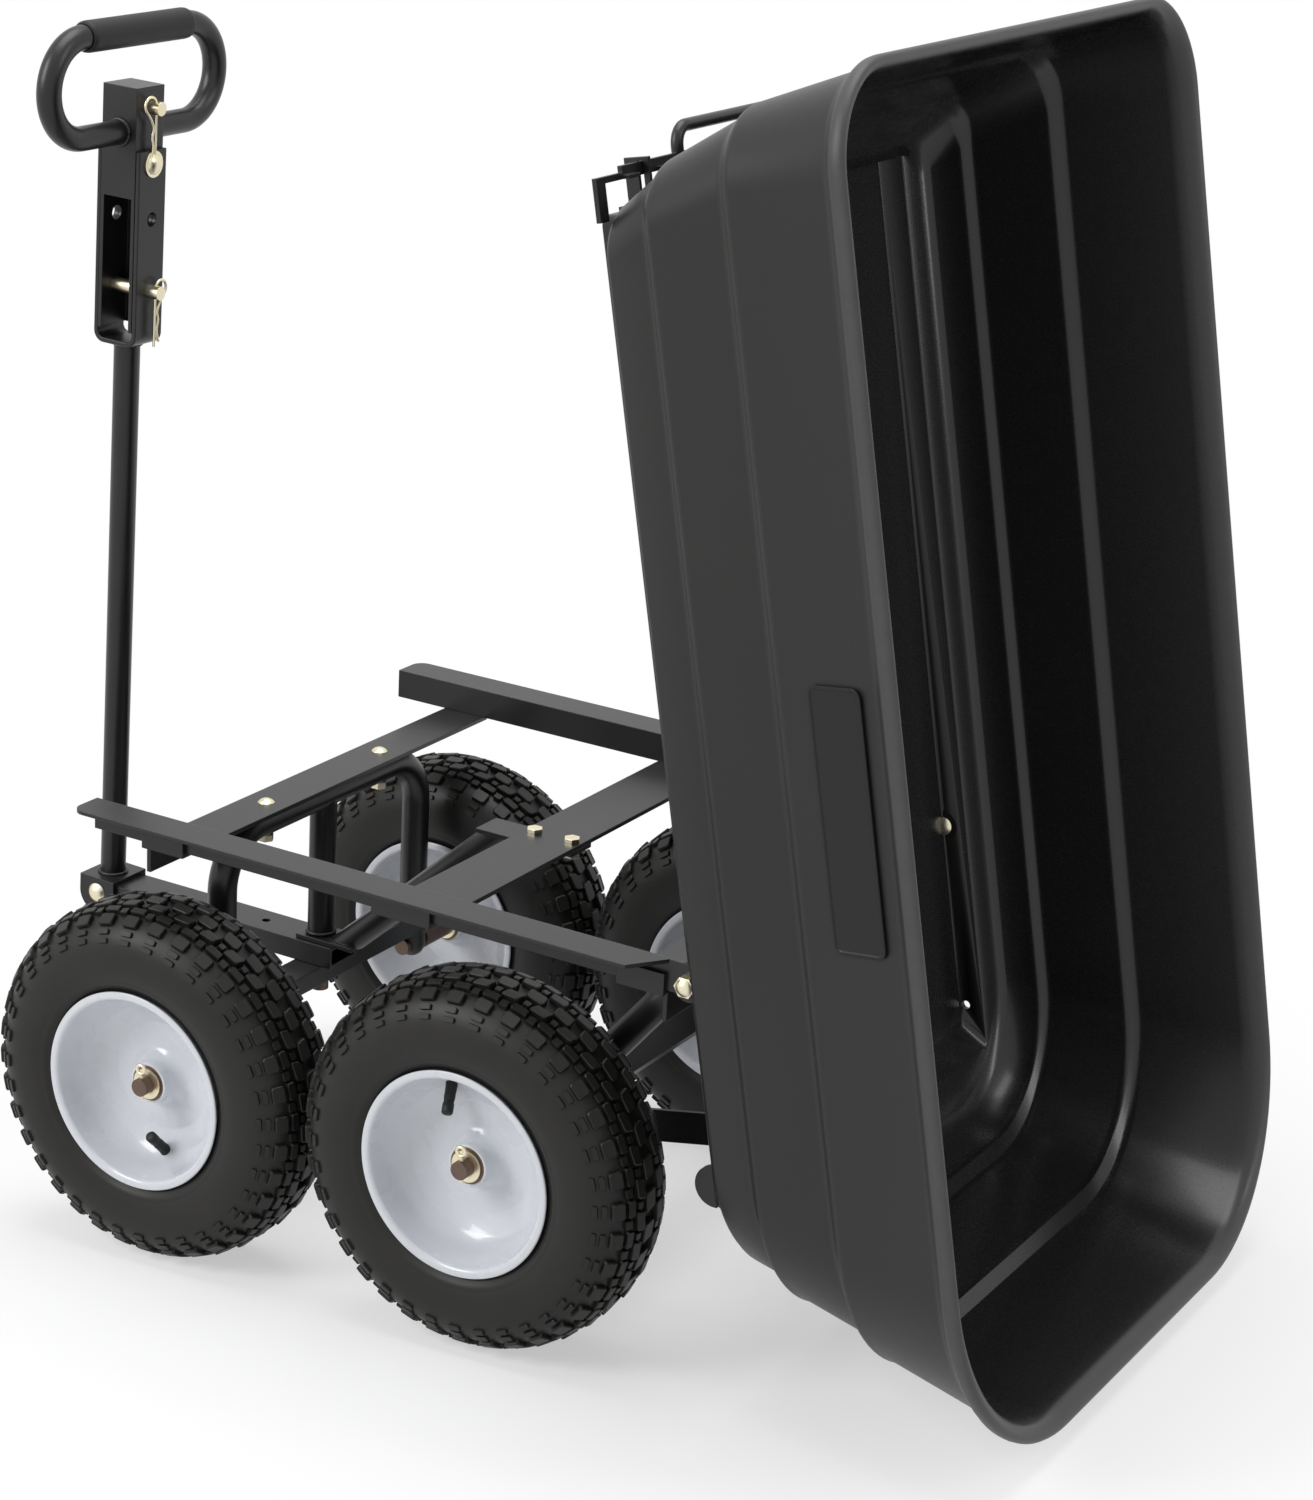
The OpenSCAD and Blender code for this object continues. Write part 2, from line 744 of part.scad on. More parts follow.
module at_valve() {
    lean = atan2(flange_y * cos(valve_angle), bowl_w * sin(valve_angle));
    translate([0, bowl(valve_angle)[1], bowl(valve_angle)[0]]) rotate([-lean, 0, 0]) children();
}

module rim() {
    half = rim_half();
    difference() {
        rotate([-90, 0, 0]) rotate_extrude($fn = 96)
            polygon(concat(half, reversed([for (p = half) [p[0], -p[1]]])));
        at_valve() along_y(-over, 3 * rim_t, valve_r + seat);
    }
}

module bearings() {
    both_sides() difference() {
        along_y(bearing_seat + seat, hub_w / 2, bearing_r);
        along_y(bearing_seat - over, hub_w / 2 + over, spindle_r + running);
    }
}

// Valve: a rubber stem through the bowl, leaning towards the hub, with its foot inside the tyre
module valve() {
    at_valve() {
        along_y(-seat, valve_len - valve_cap, valve_r);
        along_y(-2 * rim_t, -seat, valve_r + rim_t);
        along_y(valve_len - valve_cap, valve_len, valve_r * cap_share);
    }
}

module tyre_front_left() { color(rubber) at_wheel(-1, -1) tyre(); }
module tyre_front_right() { color(rubber) at_wheel(-1, 1) tyre(); }
module tyre_rear_left() { color(rubber) at_wheel(1, -1) tyre(); }
module tyre_rear_right() { color(rubber) at_wheel(1, 1) tyre(); }
module rim_front_left() { color(white_paint) at_wheel(-1, -1) rotate([0, 176, 0]) rim(); }
module rim_front_right() { color(white_paint) at_wheel(-1, 1) rim(); }
module rim_rear_left() { color(white_paint) at_wheel(1, -1) rotate([0, -20, 0]) rim(); }
module rim_rear_right() { color(white_paint) at_wheel(1, 1) rim(); }
module bearings_front_left() { color(bare_steel) at_wheel(-1, -1) bearings(); }
module bearings_front_right() { color(bare_steel) at_wheel(-1, 1) bearings(); }
module bearings_rear_left() { color(bare_steel) at_wheel(1, -1) bearings(); }
module bearings_rear_right() { color(bare_steel) at_wheel(1, 1) bearings(); }
module valve_front_left() { color(rubber) at_wheel(-1, -1) rotate([0, 176, 0]) valve(); }
module valve_front_right() { color(rubber) at_wheel(-1, 1) valve(); }
module valve_rear_left() { color(rubber) at_wheel(1, -1) rotate([0, -20, 0]) valve(); }
module valve_rear_right() { color(rubber) at_wheel(1, 1) valve(); }

// Tongue: a flat box tube from the kingpin to the handle's hinge
module tongue() {
    wall = tongue_wall;
    tail = front_x + 2 * post_r;
    hole_x = (front_x - yoke_x) / 2 + yoke_half * 3;
    color(black_steel) on_chassis() translate([0, 0, tongue_z]) difference() {
        union() {
            difference() {
                side_plate(-tongue_w / 2, tongue_w) {
                    translate([-yoke_x, -tongue_h / 2]) square([yoke_x + tail, tongue_h]);
                    translate([-yoke_x, 0]) circle(d = tongue_h);
                }
                box([yoke_half - yoke_x, tail + over], [wall - tongue_w / 2, tongue_w / 2 - wall],
                    [wall - tongue_h / 2, tongue_h / 2 - wall]);
            }
            translate([front_x, 0, 0]) along_z(-tongue_h / 2, tongue_h / 2, kingpin_r + wall);
        }
        translate([front_x, 0, 0])
            along_z(-tongue_h / 2 - over, tongue_h / 2 + over, kingpin_r + running);
        translate([-yoke_x, 0, 0])
            along_y(-tongue_w / 2 - over, tongue_w / 2 + over, pivot_r + running);
        translate([hole_x, 0, 0]) along_z(0, tongue_h, bolt_r);
    }
}

// Handle: a yoke over the tongue, a shaft and a clevis, welded together
module yoke() {
    roof = yoke_roof + yoke_t;
    color(black_steel) on_handle() difference() {
        union() {
            box([-yoke_half, yoke_half], [-yoke_gap - yoke_t, yoke_gap + yoke_t], [yoke_roof, roof]);
            both_sides() side_plate(yoke_gap, yoke_t) {
                translate([-yoke_half, 0]) square([2 * yoke_half, roof]);
                intersection() {
                    circle(r = yoke_half);
                    translate([-yoke_half, -yoke_round_share * yoke_half]) square([2 * yoke_half, yoke_half]);
                }
            }
        }
        along_y(-yoke_gap - yoke_t - over, yoke_gap + yoke_t + over, pivot_r + seat);
    }
}

module yoke_bolt() {
    color(zinc) on_handle() {
        translate([0, -yoke_gap - yoke_t, 0]) rotate([90, 0, 0]) dome_head(pivot_r);
        along_y(-yoke_gap - yoke_t, yoke_gap + yoke_t + nut_high_share * pivot_r + over, pivot_r);
    }
}

module yoke_nut() {
    color(zinc) on_handle() translate([0, yoke_gap + yoke_t, 0]) rotate([-90, 0, 0]) hex_nut(pivot_r);
}

module handle_shaft() {
    color(black_steel) on_handle() difference() {
        along_z(yoke_roof + yoke_t, shaft_len, shaft_r);
        along_z(yoke_roof, shaft_len + over, shaft_r - tube_wall);
    }
}

module clevis() {
    outer = clevis_gap + clevis_t;
    cheek_low = shaft_len + clevis_t + running;
    color(black_steel) on_handle() difference() {
        union() {
            box([-outer, outer], [-block_w / 2, block_w / 2], [shaft_len, shaft_len + clevis_t]);
            for (x = [-outer, clevis_gap])
                box([x, x + clevis_t], [-block_w / 2, block_w / 2], [cheek_low, clevis_top]);
        }
        translate([0, 0, clevis_bolt_z]) along_x(-outer - over, outer + over, pivot_r + seat);
        for (z = [middle_z, lower_pin_z]) translate([0, 0, z])
            along_x(-outer - over, outer + over, hitch_r + slide_gap);
    }
}

module grip_bolt() {
    outer = clevis_gap + clevis_t;
    color(zinc) on_handle() translate([0, 0, clevis_bolt_z]) {
        along_x(-outer - nut_high_share * pivot_r - over, outer + washer_thin, pivot_r);
        translate([outer + washer_thin, 0, 0]) rotate([0, 90, 0]) dome_head(pivot_r);
    }
}

module grip_washer() {
    outer = clevis_gap + clevis_t;
    color(zinc) on_handle() translate([0, 0, clevis_bolt_z]) difference() {
        along_x(outer, outer + washer_thin, clevis_end);
        along_x(outer - over, outer + washer_thin + over, pivot_r + seat);
    }
}

module grip_nut() {
    outer = clevis_gap + clevis_t;
    color(zinc) on_handle() translate([-outer, 0, clevis_bolt_z]) rotate([0, -90, 0]) hex_nut(pivot_r);
}

// Hitch pins: the lower one locks the grip in the clevis, the upper one is stored in the block
module hitch_pin(face) {
    difference() {
        union() {
            along_x(-face, face + pin_over, hitch_r);
            along_x(-face - clevis_t, -face, pin_head_share * hitch_r);
        }
        translate([face + pin_over / 2, 0, 0]) along_z(-hitch_r - over, hitch_r + over, pin_wire + seat);
    }
}

module hairpin(face) {
    bend = hitch_r * hairpin_share;
    translate([face + pin_over / 2, 0, 0]) {
        along_z(-hairpin_drop, hitch_r + bend, pin_wire);
        translate([0, -2 * bend, 0]) along_z(-hairpin_drop, bend, pin_wire);
        translate([0, -bend, -hairpin_drop]) rotate([-90, 0, 90])
            rotate_extrude(angle = 180) translate([bend, 0]) circle(r = pin_wire);
    }
}

module hitch_pins() {
    color(zinc) on_handle() {
        translate([0, 0, lower_pin_z]) hitch_pin(clevis_gap + clevis_t);
        translate([0, 0, upper_pin_z]) hitch_pin(block_w / 2);
    }
}

module hairpins() {
    color(zinc) on_handle() {
        translate([0, 0, lower_pin_z]) hairpin(clevis_gap + clevis_t);
        translate([0, 0, upper_pin_z]) hairpin(block_w / 2);
    }
}

// Hitch block: a square tube, and below the grip a jaw of three plates, open towards the side
module hitch_block() {
    half = block_w / 2;
    in_half = half - block_wall;
    color(black_steel) on_handle() difference() {
        union() {
            difference() {
                box([-half, half], [-half, half], [channel_top, block_z + block_h]);
                box([-in_half, in_half], [-in_half, in_half],
                    [channel_top - over, block_z + block_h - block_wall]);
            }
            for (x = [-half, in_half])
                box([x, x + block_wall], [-half, half], [block_z, channel_top - running]);
            box([running - in_half, in_half - running], [in_half, half], [block_z, channel_top - running]);
        }
        translate([0, 0, clevis_bolt_z]) along_x(-half - over, half + over, pivot_r + seat);
        for (z = [middle_z, lower_pin_z, upper_pin_z]) translate([0, 0, z])
            along_x(-half - over, half + over, hitch_r + slide_gap);
    }
}

module loop_sweep(r) {
    bend = loop_h / 2;
    run = loop_w / 2 - bend;
    along_y(block_w / 2, run, r);
    translate([0, run, bend]) rotate([0, 90, 0])
        rotate_extrude(angle = 180) translate([bend, 0]) circle(r = r);
    translate([0, 0, loop_h]) along_y(0, run, r);
}

module grip_loop() {
    color(black_steel) on_handle() translate([0, 0, loop_z]) both_sides() difference() {
        loop_sweep(loop_r);
        loop_sweep(loop_r - tube_wall);
    }
}

module grip_sleeve() {
    half = loop_w / 2 - loop_h / 2;
    round_r = sleeve_r - sleeve_round;
    color(rubber) on_handle() translate([0, 0, loop_z + loop_h]) rotate([-90, 0, 0]) rotate_extrude()
        polygon(concat([[loop_r + seat, half], [loop_r + seat, -half]],
            arc(round_r, sleeve_round - half, sleeve_round, 270, 360, 4),
            arc(round_r, half - sleeve_round, sleeve_round, 0, 90, 4)));
}

// Tub: stepped, flared shell with a rolled lip and a floor panel sunk between the rails
function tub_ring(l, inset) =
    let (front = -floor_front - l[2] * spread_front + inset)
    let (back = floor_back + l[3] * spread_back - inset)
    let (half = floor_half + l[1] * spread_side - inset)
    let (rf = corner_front_low + l[1] * (corner_front - corner_front_low) - inset)
    let (rb = corner_back_low + l[1] * (corner_back - corner_back_low) - inset)
    [for (p = concat(arc(back - rb, half - rb, rb, 0, 90, corner_steps),
        arc(front + rf, half - rf, rf, 90, 180, corner_steps),
        arc(front + rf, rf - half, rf, 180, 270, corner_steps),
        arc(back - rb, rb - half, rb, 270, 360, corner_steps)))
        [p[0], p[1], base_z + l[0] * tub_depth]];

function tub_rings() = concat(
    [for (l = concat(outer_shares, lip_shares)) tub_ring(l, 0)],
    [for (l = reversed(outer_shares)) if (l[0] > inner_low_share) tub_ring(l, tub_wall)],
    [tub_ring(foot_shares, tub_wall), tub_ring(floor_shares, floor_edge_share * tub_wall)]);

function ring_faces(count) = [for (j = [0 : count - 2]) for (i = [0 : ring_count - 1])
    let (k = (i + 1) % ring_count)
    for (t = [[j * ring_count + i, (j + 1) * ring_count + i, (j + 1) * ring_count + k],
        [j * ring_count + i, (j + 1) * ring_count + k, j * ring_count + k]]) t];

module tub_shell() {
    rings = tub_rings();
    last = (len(rings) - 1) * ring_count;
    polyhedron([for (r = rings) for (p = r) p],
        concat(ring_faces(len(rings)),
            [[for (i = [0 : ring_count - 1]) i], [for (i = [ring_count - 1 : -1 : 0]) last + i]]));
}

module sunk_outline(inset, top) {
    polygon([[inset - sunk_front, top], [inset - sunk_front, sunk_z + inset],
        [sunk_back - inset, sunk_z + inset],
        [sunk_back + sunk_rise * (top - sunk_z) / sunk_depth - inset, top]]);
}

module tub() {
    floor_top = base_z + tub_wall;
    head_in = pivot_head_y - head_high_share * pivot_r - slide_gap;
    color(black_poly) on_tub() difference() {
        union() {
            tub_shell();
            side_plate(-sunk_half, 2 * sunk_half) sunk_outline(0, floor_top - seat);
            both_sides() along_y(head_in - tub_wall, sunk_half, pivot_room_r + tub_wall);
        }
        side_plate(tub_wall - sunk_half, 2 * (sunk_half - tub_wall))
            sunk_outline(tub_wall, floor_top + over);
        both_sides() {
            along_y(head_in, sunk_half - tub_wall, pivot_room_r);
            along_y(head_in, sunk_half + over, pivot_r + running);
        }
        translate([sunk_back - 3 * sunk_rise / 2, 0, sunk_z + tub_wall + bolt_r + over])
            along_y(-sunk_half - over, sunk_half + over, bolt_r);
        both_sides() for (y = [-3 * guide_t, 3 * guide_t])
            translate([-sunk_front, guide_y + y, sunk_z + sunk_depth / 2])
                along_x(-over, tub_wall + over, bolt_r / 2 + seat);
    }
}

// Feet: rounded steel fins under the end of the sunk floor
module tub_feet() {
    foot_x = sunk_back - foot_r;
    color(black_steel) on_tub() both_sides() {
        side_plate(sunk_half - 2 * foot_t, foot_t) translate([foot_x, sunk_z]) intersection() {
            circle(r = foot_r);
            translate([-foot_r, -foot_r]) square([2 * foot_r, foot_r]);
        }
        box([foot_x - foot_r, foot_x + foot_r], [sunk_half - foot_r, sunk_half - foot_t],
            [sunk_z - foot_t / 2, sunk_z]);
    }
}

// Latch: a strap that slides under the rail ends, in two guides, with a rod loop to pull
module latch_guides() {
    low = strap_z - guide_drop;
    high = base_z - slide_gap;
    ear_x = strap_x - guide_front;
    color(black_steel) on_tub() both_sides() difference() {
        union() {
            box([-sunk_front - guide_t, -sunk_front],
                [guide_y - 5 * guide_t, guide_y + 5 * guide_t], [sunk_z, high]);
            box([ear_x, -sunk_front], [guide_y - guide_t / 2, guide_y + guide_t / 2], [low, high]);
        }
        box([strap_x - strap_w - slide_gap, strap_x + latch_travel + slide_gap],
            [guide_y - guide_t, guide_y + guide_t], [strap_z - slide_gap, strap_z + strap_t + slide_gap]);
        for (y = [-3 * guide_t, 3 * guide_t]) translate([-sunk_front, guide_y + y, sunk_z + sunk_depth / 2])
            along_x(-guide_t - over, over, bolt_r / 2 + seat);
    }
}

module latch_screws() {
    color(zinc) on_tub() both_sides() for (y = [-3 * guide_t, 3 * guide_t])
        translate([-sunk_front - guide_t, guide_y + y, sunk_z + sunk_depth / 2]) {
            rotate([0, -90, 0]) dome_head(bolt_r / 2);
            along_x(0, guide_t + tub_wall, bolt_r / 2);
        }
}

module pull_loop() {
    bend = 3 * pull_r;
    top = strap_x - strap_w - pull_reach;
    translate([0, 0, strap_z + strap_t / 2]) both_sides() {
        translate([0, pull_half, 0]) along_x(top + bend, strap_x - strap_w, pull_r);
        translate([top + bend, pull_half - bend, 0]) rotate([0, 0, 90])
            rotate_extrude(angle = 90) translate([bend, 0]) circle(r = pull_r);
        translate([top, 0, 0]) along_y(0, pull_half - bend, pull_r);
    }
}

module latch_slide() {
    color(black_steel) on_tub() {
        box([strap_x - strap_w, strap_x], [-strap_half, strap_half], [strap_z, strap_z + strap_t]);
        box([strap_x - fence_t, strap_x], [-fence_half, fence_half], [strap_z, strap_z + fence_h]);
        both_sides() {
            box([strap_x - strap_w / 2, strap_x], [0, lip_y + lip_w], [strap_z, strap_z + strap_t]);
            box([strap_x, strap_x + lip_reach], [lip_y, lip_y + lip_w], [strap_z, strap_z + strap_t]);
            box([strap_x - fence_t, strap_x],
                [guide_y + 5 * guide_t, strap_half], [strap_z, strap_z + fence_h]);
        }
        pull_loop();
    }
}

left_rail();
right_rail();
front_crossbar();
middle_crossbar();
rear_crossbar();
front_hoop();
rear_hoop();
hoop_bolts();
brace_bolts();
frame_nuts();
front_axle_beam();
rear_axle_beam();
kingpin_post();
kingpin();
front_brace();
front_spindles();
rear_spindles();
axle_washers();
split_pins();
tip_stop_arms();
pivot_bolts();
pivot_nuts();
pivot_bushes();
tyre_front_left();
tyre_front_right();
tyre_rear_left();
tyre_rear_right();
rim_front_left();
rim_front_right();
rim_rear_left();
rim_rear_right();
bearings_front_left();
bearings_front_right();
bearings_rear_left();
bearings_rear_right();
valve_front_left();
valve_front_right();
valve_rear_left();
valve_rear_right();
tongue();
yoke();
yoke_bolt();
yoke_nut();
handle_shaft();
clevis();
grip_bolt();
grip_washer();
grip_nut();
hitch_pins();
hairpins();
hitch_block();
grip_loop();
grip_sleeve();
tub();
tub_feet();
latch_guides();
latch_screws();
latch_slide();
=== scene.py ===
import json
import math

import bmesh
import bpy
from mathutils import Matrix, Vector


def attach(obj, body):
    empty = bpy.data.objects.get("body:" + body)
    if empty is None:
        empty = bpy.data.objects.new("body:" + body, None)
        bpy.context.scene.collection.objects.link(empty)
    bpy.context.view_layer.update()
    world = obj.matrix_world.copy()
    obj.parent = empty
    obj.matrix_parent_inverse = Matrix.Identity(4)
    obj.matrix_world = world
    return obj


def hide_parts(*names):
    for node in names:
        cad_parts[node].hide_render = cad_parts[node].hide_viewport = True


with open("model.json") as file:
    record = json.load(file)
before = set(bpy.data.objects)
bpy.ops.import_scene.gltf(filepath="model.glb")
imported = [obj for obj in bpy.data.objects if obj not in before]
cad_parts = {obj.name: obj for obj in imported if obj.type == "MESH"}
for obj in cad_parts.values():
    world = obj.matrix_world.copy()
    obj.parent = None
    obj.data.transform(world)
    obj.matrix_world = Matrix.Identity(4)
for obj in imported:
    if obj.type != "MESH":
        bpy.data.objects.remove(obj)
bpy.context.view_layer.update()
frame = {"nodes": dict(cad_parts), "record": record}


# The welded chassis: angle-iron rails, flat crossbars and bent tube hoops.
# Mild steel, sprayed with black powder and baked, so it has a satin skin
# with a faint orange peel and softened edges.
class Tone:
    """One socket of a finish: sums on it add Math nodes to the finish."""

    def __init__(self, tree, socket):
        self.tree = tree
        self.socket = socket

    def sum(self, operation, other, turned=False):
        made = self.tree.nodes.new("ShaderNodeMath")
        made.operation = operation
        for slot, value in enumerate((other, self) if turned else (self, other)):
            if isinstance(value, Tone):
                self.tree.links.new(value.socket, made.inputs[slot])
            else:
                made.inputs[slot].default_value = value
        return Tone(self.tree, made.outputs[0])

    def __add__(self, other):
        return self.sum("ADD", other)

    def __radd__(self, other):
        return self.sum("ADD", other, True)

    def __sub__(self, other):
        return self.sum("SUBTRACT", other)

    def __rsub__(self, other):
        return self.sum("SUBTRACT", other, True)

    def __mul__(self, other):
        return self.sum("MULTIPLY", other)


class Finish:
    """A material under construction, with its shader ready to be fed."""

    def __init__(self, name, **constants):
        self.material = bpy.data.materials.new(name)
        self.material.use_nodes = True
        self.tree = self.material.node_tree
        self.shader = self.tree.nodes["Principled BSDF"]
        for socket, value in constants.items():
            self.shader.inputs[socket.replace("_", " ")].default_value = value

    def node(self, kind, settings, sockets, out=0):
        made = self.tree.nodes.new(kind)
        for key, value in settings.items():
            setattr(made, key, value)
        for key, value in sockets.items():
            if isinstance(value, Tone):
                self.tree.links.new(value.socket, made.inputs[key])
            else:
                made.inputs[key].default_value = value
        return Tone(self.tree, made.outputs[out])

    def feed(self, **sockets):
        for socket, value in sockets.items():
            self.tree.links.new(value.socket, self.shader.inputs[socket.replace("_", " ")])

    def place(self):
        return self.node("ShaderNodeTexCoord", {}, {}, "Object")

    def noise(self, scale, detail=3.0, rough=0.55):
        return self.node("ShaderNodeTexNoise", {}, {"Vector": self.place(), "Scale": scale,
                                                     "Detail": detail, "Roughness": rough})

    def blend(self, factor, first, second):
        return self.node("ShaderNodeMix", {"data_type": "RGBA"}, {0: factor, 6: first, 7: second}, 2)

    def bump(self, height, strength, distance, normal=None):
        sockets = {"Height": height, "Strength": strength, "Distance": distance}
        if normal is not None:
            sockets["Normal"] = normal
        return self.node("ShaderNodeBump", {}, sockets)

    def soft_edge(self, radius):
        return self.node("ShaderNodeBevel", {"samples": 6}, {"Radius": radius})


def powder_coat():
    made = Finish("black_powder_coat", Coat_Roughness=0.3, Specular_IOR_Level=0.37)
    cloud = made.noise(14.0, 4.0)
    peel = made.noise(850.0, 2.0)
    dust = made.noise(120.0, 6.0, 0.7)
    made.feed(Base_Color=made.blend(cloud, (0.0072, 0.0072, 0.0077, 1), (0.0135, 0.0135, 0.0140, 1)),
              Roughness=0.25 + cloud * 0.12 + dust * 0.06,
              Coat_Weight=0.02 + cloud * 0.08,
              Normal=made.bump(peel, 0.10, 0.0006, made.soft_edge(0.0011)))
    return made.material


def dress(material, *names):
    for name in names:
        for slot in frame["nodes"][name].material_slots:
            slot.material = material


coat = powder_coat()
dress(coat, "left_rail", "right_rail", "front_crossbar", "middle_crossbar", "rear_crossbar",
      "front_hoop", "rear_hoop", "front_axle_beam", "rear_axle_beam", "kingpin_post", "front_brace",
      "tip_stop_arms")


# Weld beads where the tubes and beams of the chassis meet, laid by hand as a row of small
# overlapping puddles and coated with the frame.
# Each bead is a ring or a line of round drops, half sunk in the steel.
PLACES = {joint["name"]: Vector(joint["pos_m"]) for joint in frame["record"]["behaviour"]["joints"]
          if joint["type"] == "hinge"}
MIDDLE = (PLACES["front_left_roll"].x + PLACES["rear_left_roll"].x) / 2
SLOPE, DECK = math.radians(3.34), 0.395


def from_chassis(x, y, z):
    """A point of the chassis, whose deck leans by SLOPE, in the part's frame."""
    return Vector((x * math.cos(SLOPE) + z * math.sin(SLOPE) + MIDDLE, y,
                   DECK - x * math.sin(SLOPE) + z * math.cos(SLOPE)))


def weld_tree():
    tree = bpy.data.node_groups.new("weld_bead", "GeometryNodeTree")
    face = tree.interface
    face.new_socket("Seam", in_out="INPUT", socket_type="NodeSocketGeometry")
    pitch = face.new_socket("Pitch", in_out="INPUT", socket_type="NodeSocketFloat")
    size = face.new_socket("Puddle", in_out="INPUT", socket_type="NodeSocketFloat")
    coating = face.new_socket("Coating", in_out="INPUT", socket_type="NodeSocketMaterial")
    face.new_socket("Bead", in_out="OUTPUT", socket_type="NodeSocketGeometry")
    given = tree.nodes.new("NodeGroupInput")
    made = tree.nodes.new("NodeGroupOutput")
    curve = tree.nodes.new("GeometryNodeMeshToCurve")
    points = tree.nodes.new("GeometryNodeCurveToPoints")
    points.mode = "LENGTH"
    drop = tree.nodes.new("GeometryNodeMeshIcoSphere")
    drop.inputs["Subdivisions"].default_value = 2
    spread = tree.nodes.new("GeometryNodeInstanceOnPoints")
    real = tree.nodes.new("GeometryNodeRealizeInstances")
    paint = tree.nodes.new("GeometryNodeSetMaterial")
    link = tree.links.new
    link(given.outputs["Seam"], curve.inputs["Mesh"])
    link(curve.outputs["Curve"], points.inputs["Curve"])
    link(given.outputs["Pitch"], points.inputs["Length"])
    link(given.outputs["Puddle"], drop.inputs["Radius"])
    link(points.outputs["Points"], spread.inputs["Points"])
    link(drop.outputs["Mesh"], spread.inputs["Instance"])
    link(spread.outputs["Instances"], real.inputs["Geometry"])
    link(real.outputs["Geometry"], paint.inputs["Geometry"])
    link(given.outputs["Coating"], paint.inputs["Material"])
    link(paint.outputs["Geometry"], made.inputs["Bead"])
    return tree, {"pitch": pitch.identifier, "puddle": size.identifier, "coating": coating.identifier}


def settle(piece):
    """Turns a piece with modifiers into a plain mesh and drops the modifiers."""
    bpy.context.view_layer.update()
    made = bpy.data.meshes.new_from_object(piece.evaluated_get(bpy.context.evaluated_depsgraph_get()))
    made.name = piece.name
    piece.modifiers.clear()
    piece.data = made


def show(name, mesh):
    piece = bpy.data.objects.new(name, mesh)
    bpy.context.scene.collection.objects.link(piece)
    return piece


def weld(name, seams, body, puddle=0.0022, overlap=0.9):
    """Lays a bead along each seam and rides all of them on one body."""
    mesh = bpy.data.meshes.new(name)
    points, edges = [], []
    for seam in seams:
        start = len(points)
        points += seam
        edges += [(start + i, start + i + 1) for i in range(len(seam) - 1)]
    mesh.from_pydata(points, edges, [])
    piece = show(name, mesh)
    tree, sockets = weld_tree()
    layer = piece.modifiers.new("bead", "NODES")
    layer.node_group = tree
    layer[sockets["pitch"]] = puddle * overlap
    layer[sockets["puddle"]] = puddle
    layer[sockets["coating"]] = coat
    settle(piece)
    for face in piece.data.polygons:
        face.use_smooth = True
    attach(piece, body)


def ring_of(centre, radius, right, up, steps=40):
    return [centre + radius * (math.cos(a) * right + math.sin(a) * up)
            for a in (2 * math.pi * i / steps for i in range(steps + 1))]


front_x, rear_x = -0.153263, 0.094
post_foot, post_round = -0.1785, 0.0128
beam_faces, beam_half, beam_end, tack = (-0.2055, -0.2235), 0.015, 0.1435, 0.0007
leg_y, leg_half, leg_reach = 0.150, 0.0125, 0.0135
rail_y, rail_z = 0.2353, -0.0118
chassis_x = from_chassis(1, 0, 0) - from_chassis(0, 0, 0)
across = Vector((0, 1, 0))
seams = [ring_of(from_chassis(front_x, 0, post_foot), post_round, chassis_x, across)]
for side in (-1, 1):
    for level in beam_faces:
        for dx in (-beam_half, beam_half):
            seams.append([from_chassis(front_x + dx, side * y, level) for y in (beam_end, beam_end + tack)])
        seams.append([from_chassis(front_x + leg_half * math.cos(a),
                                   side * (leg_y - leg_reach * math.sin(a)), level)
                      for a in (math.pi * k / 12 for k in range(13))])
    for weld_x, weld_half in ((front_x, 0.01), (rear_x, 0.025)):
        seams.append([from_chassis(weld_x + weld_half * (k / 4 - 1), side * rail_y, rail_z)
                      for k in range(9)])
weld("frame_welds", seams, "chassis", puddle=0.0018)


# Bolts, nuts, washers, split pins and hitch pins.
# Cut steel, plated with zinc and passivated yellow, so they shimmer
# between pale gold and grey.
def zinc_plate():
    made = Finish("yellow_zinc", Metallic=1.0)
    tint = made.noise(90.0, 3.0)
    grain = made.noise(1400.0, 2.0)
    made.feed(Base_Color=made.blend(tint, (0.78, 0.66, 0.36, 1), (0.80, 0.78, 0.70, 1)),
              Roughness=0.24 + tint * 0.16,
              Normal=made.bump(grain, 0.06, 0.0003, made.soft_edge(0.0005)))
    return made.material


plated = zinc_plate()
dress(plated, "hoop_bolts", "brace_bolts", "frame_nuts", "axle_washers", "split_pins", "pivot_bolts",
      "pivot_nuts", "yoke_bolt", "yoke_nut", "grip_bolt", "grip_nut", "grip_washer", "hitch_pins",
      "latch_screws")


# Spindles, kingpin and wheel bearings.
# Turned steel with a thin, cloudy film of brown storage oil.
def oiled_steel():
    made = Finish("oiled_steel", Metallic=1.0)
    film = made.noise(70.0, 5.0, 0.65)
    lathe = made.noise(900.0, 2.0)
    made.feed(Base_Color=made.blend(film, (0.10, 0.065, 0.05, 1), (0.20, 0.15, 0.125, 1)),
              Roughness=0.36 + film * 0.2,
              Normal=made.bump(lathe, 0.08, 0.0003, made.soft_edge(0.0006)))
    return made.material


dress(oiled_steel(), "kingpin", "front_spindles", "rear_spindles", "bearings_front_left",
      "bearings_front_right", "bearings_rear_left", "bearings_rear_right")


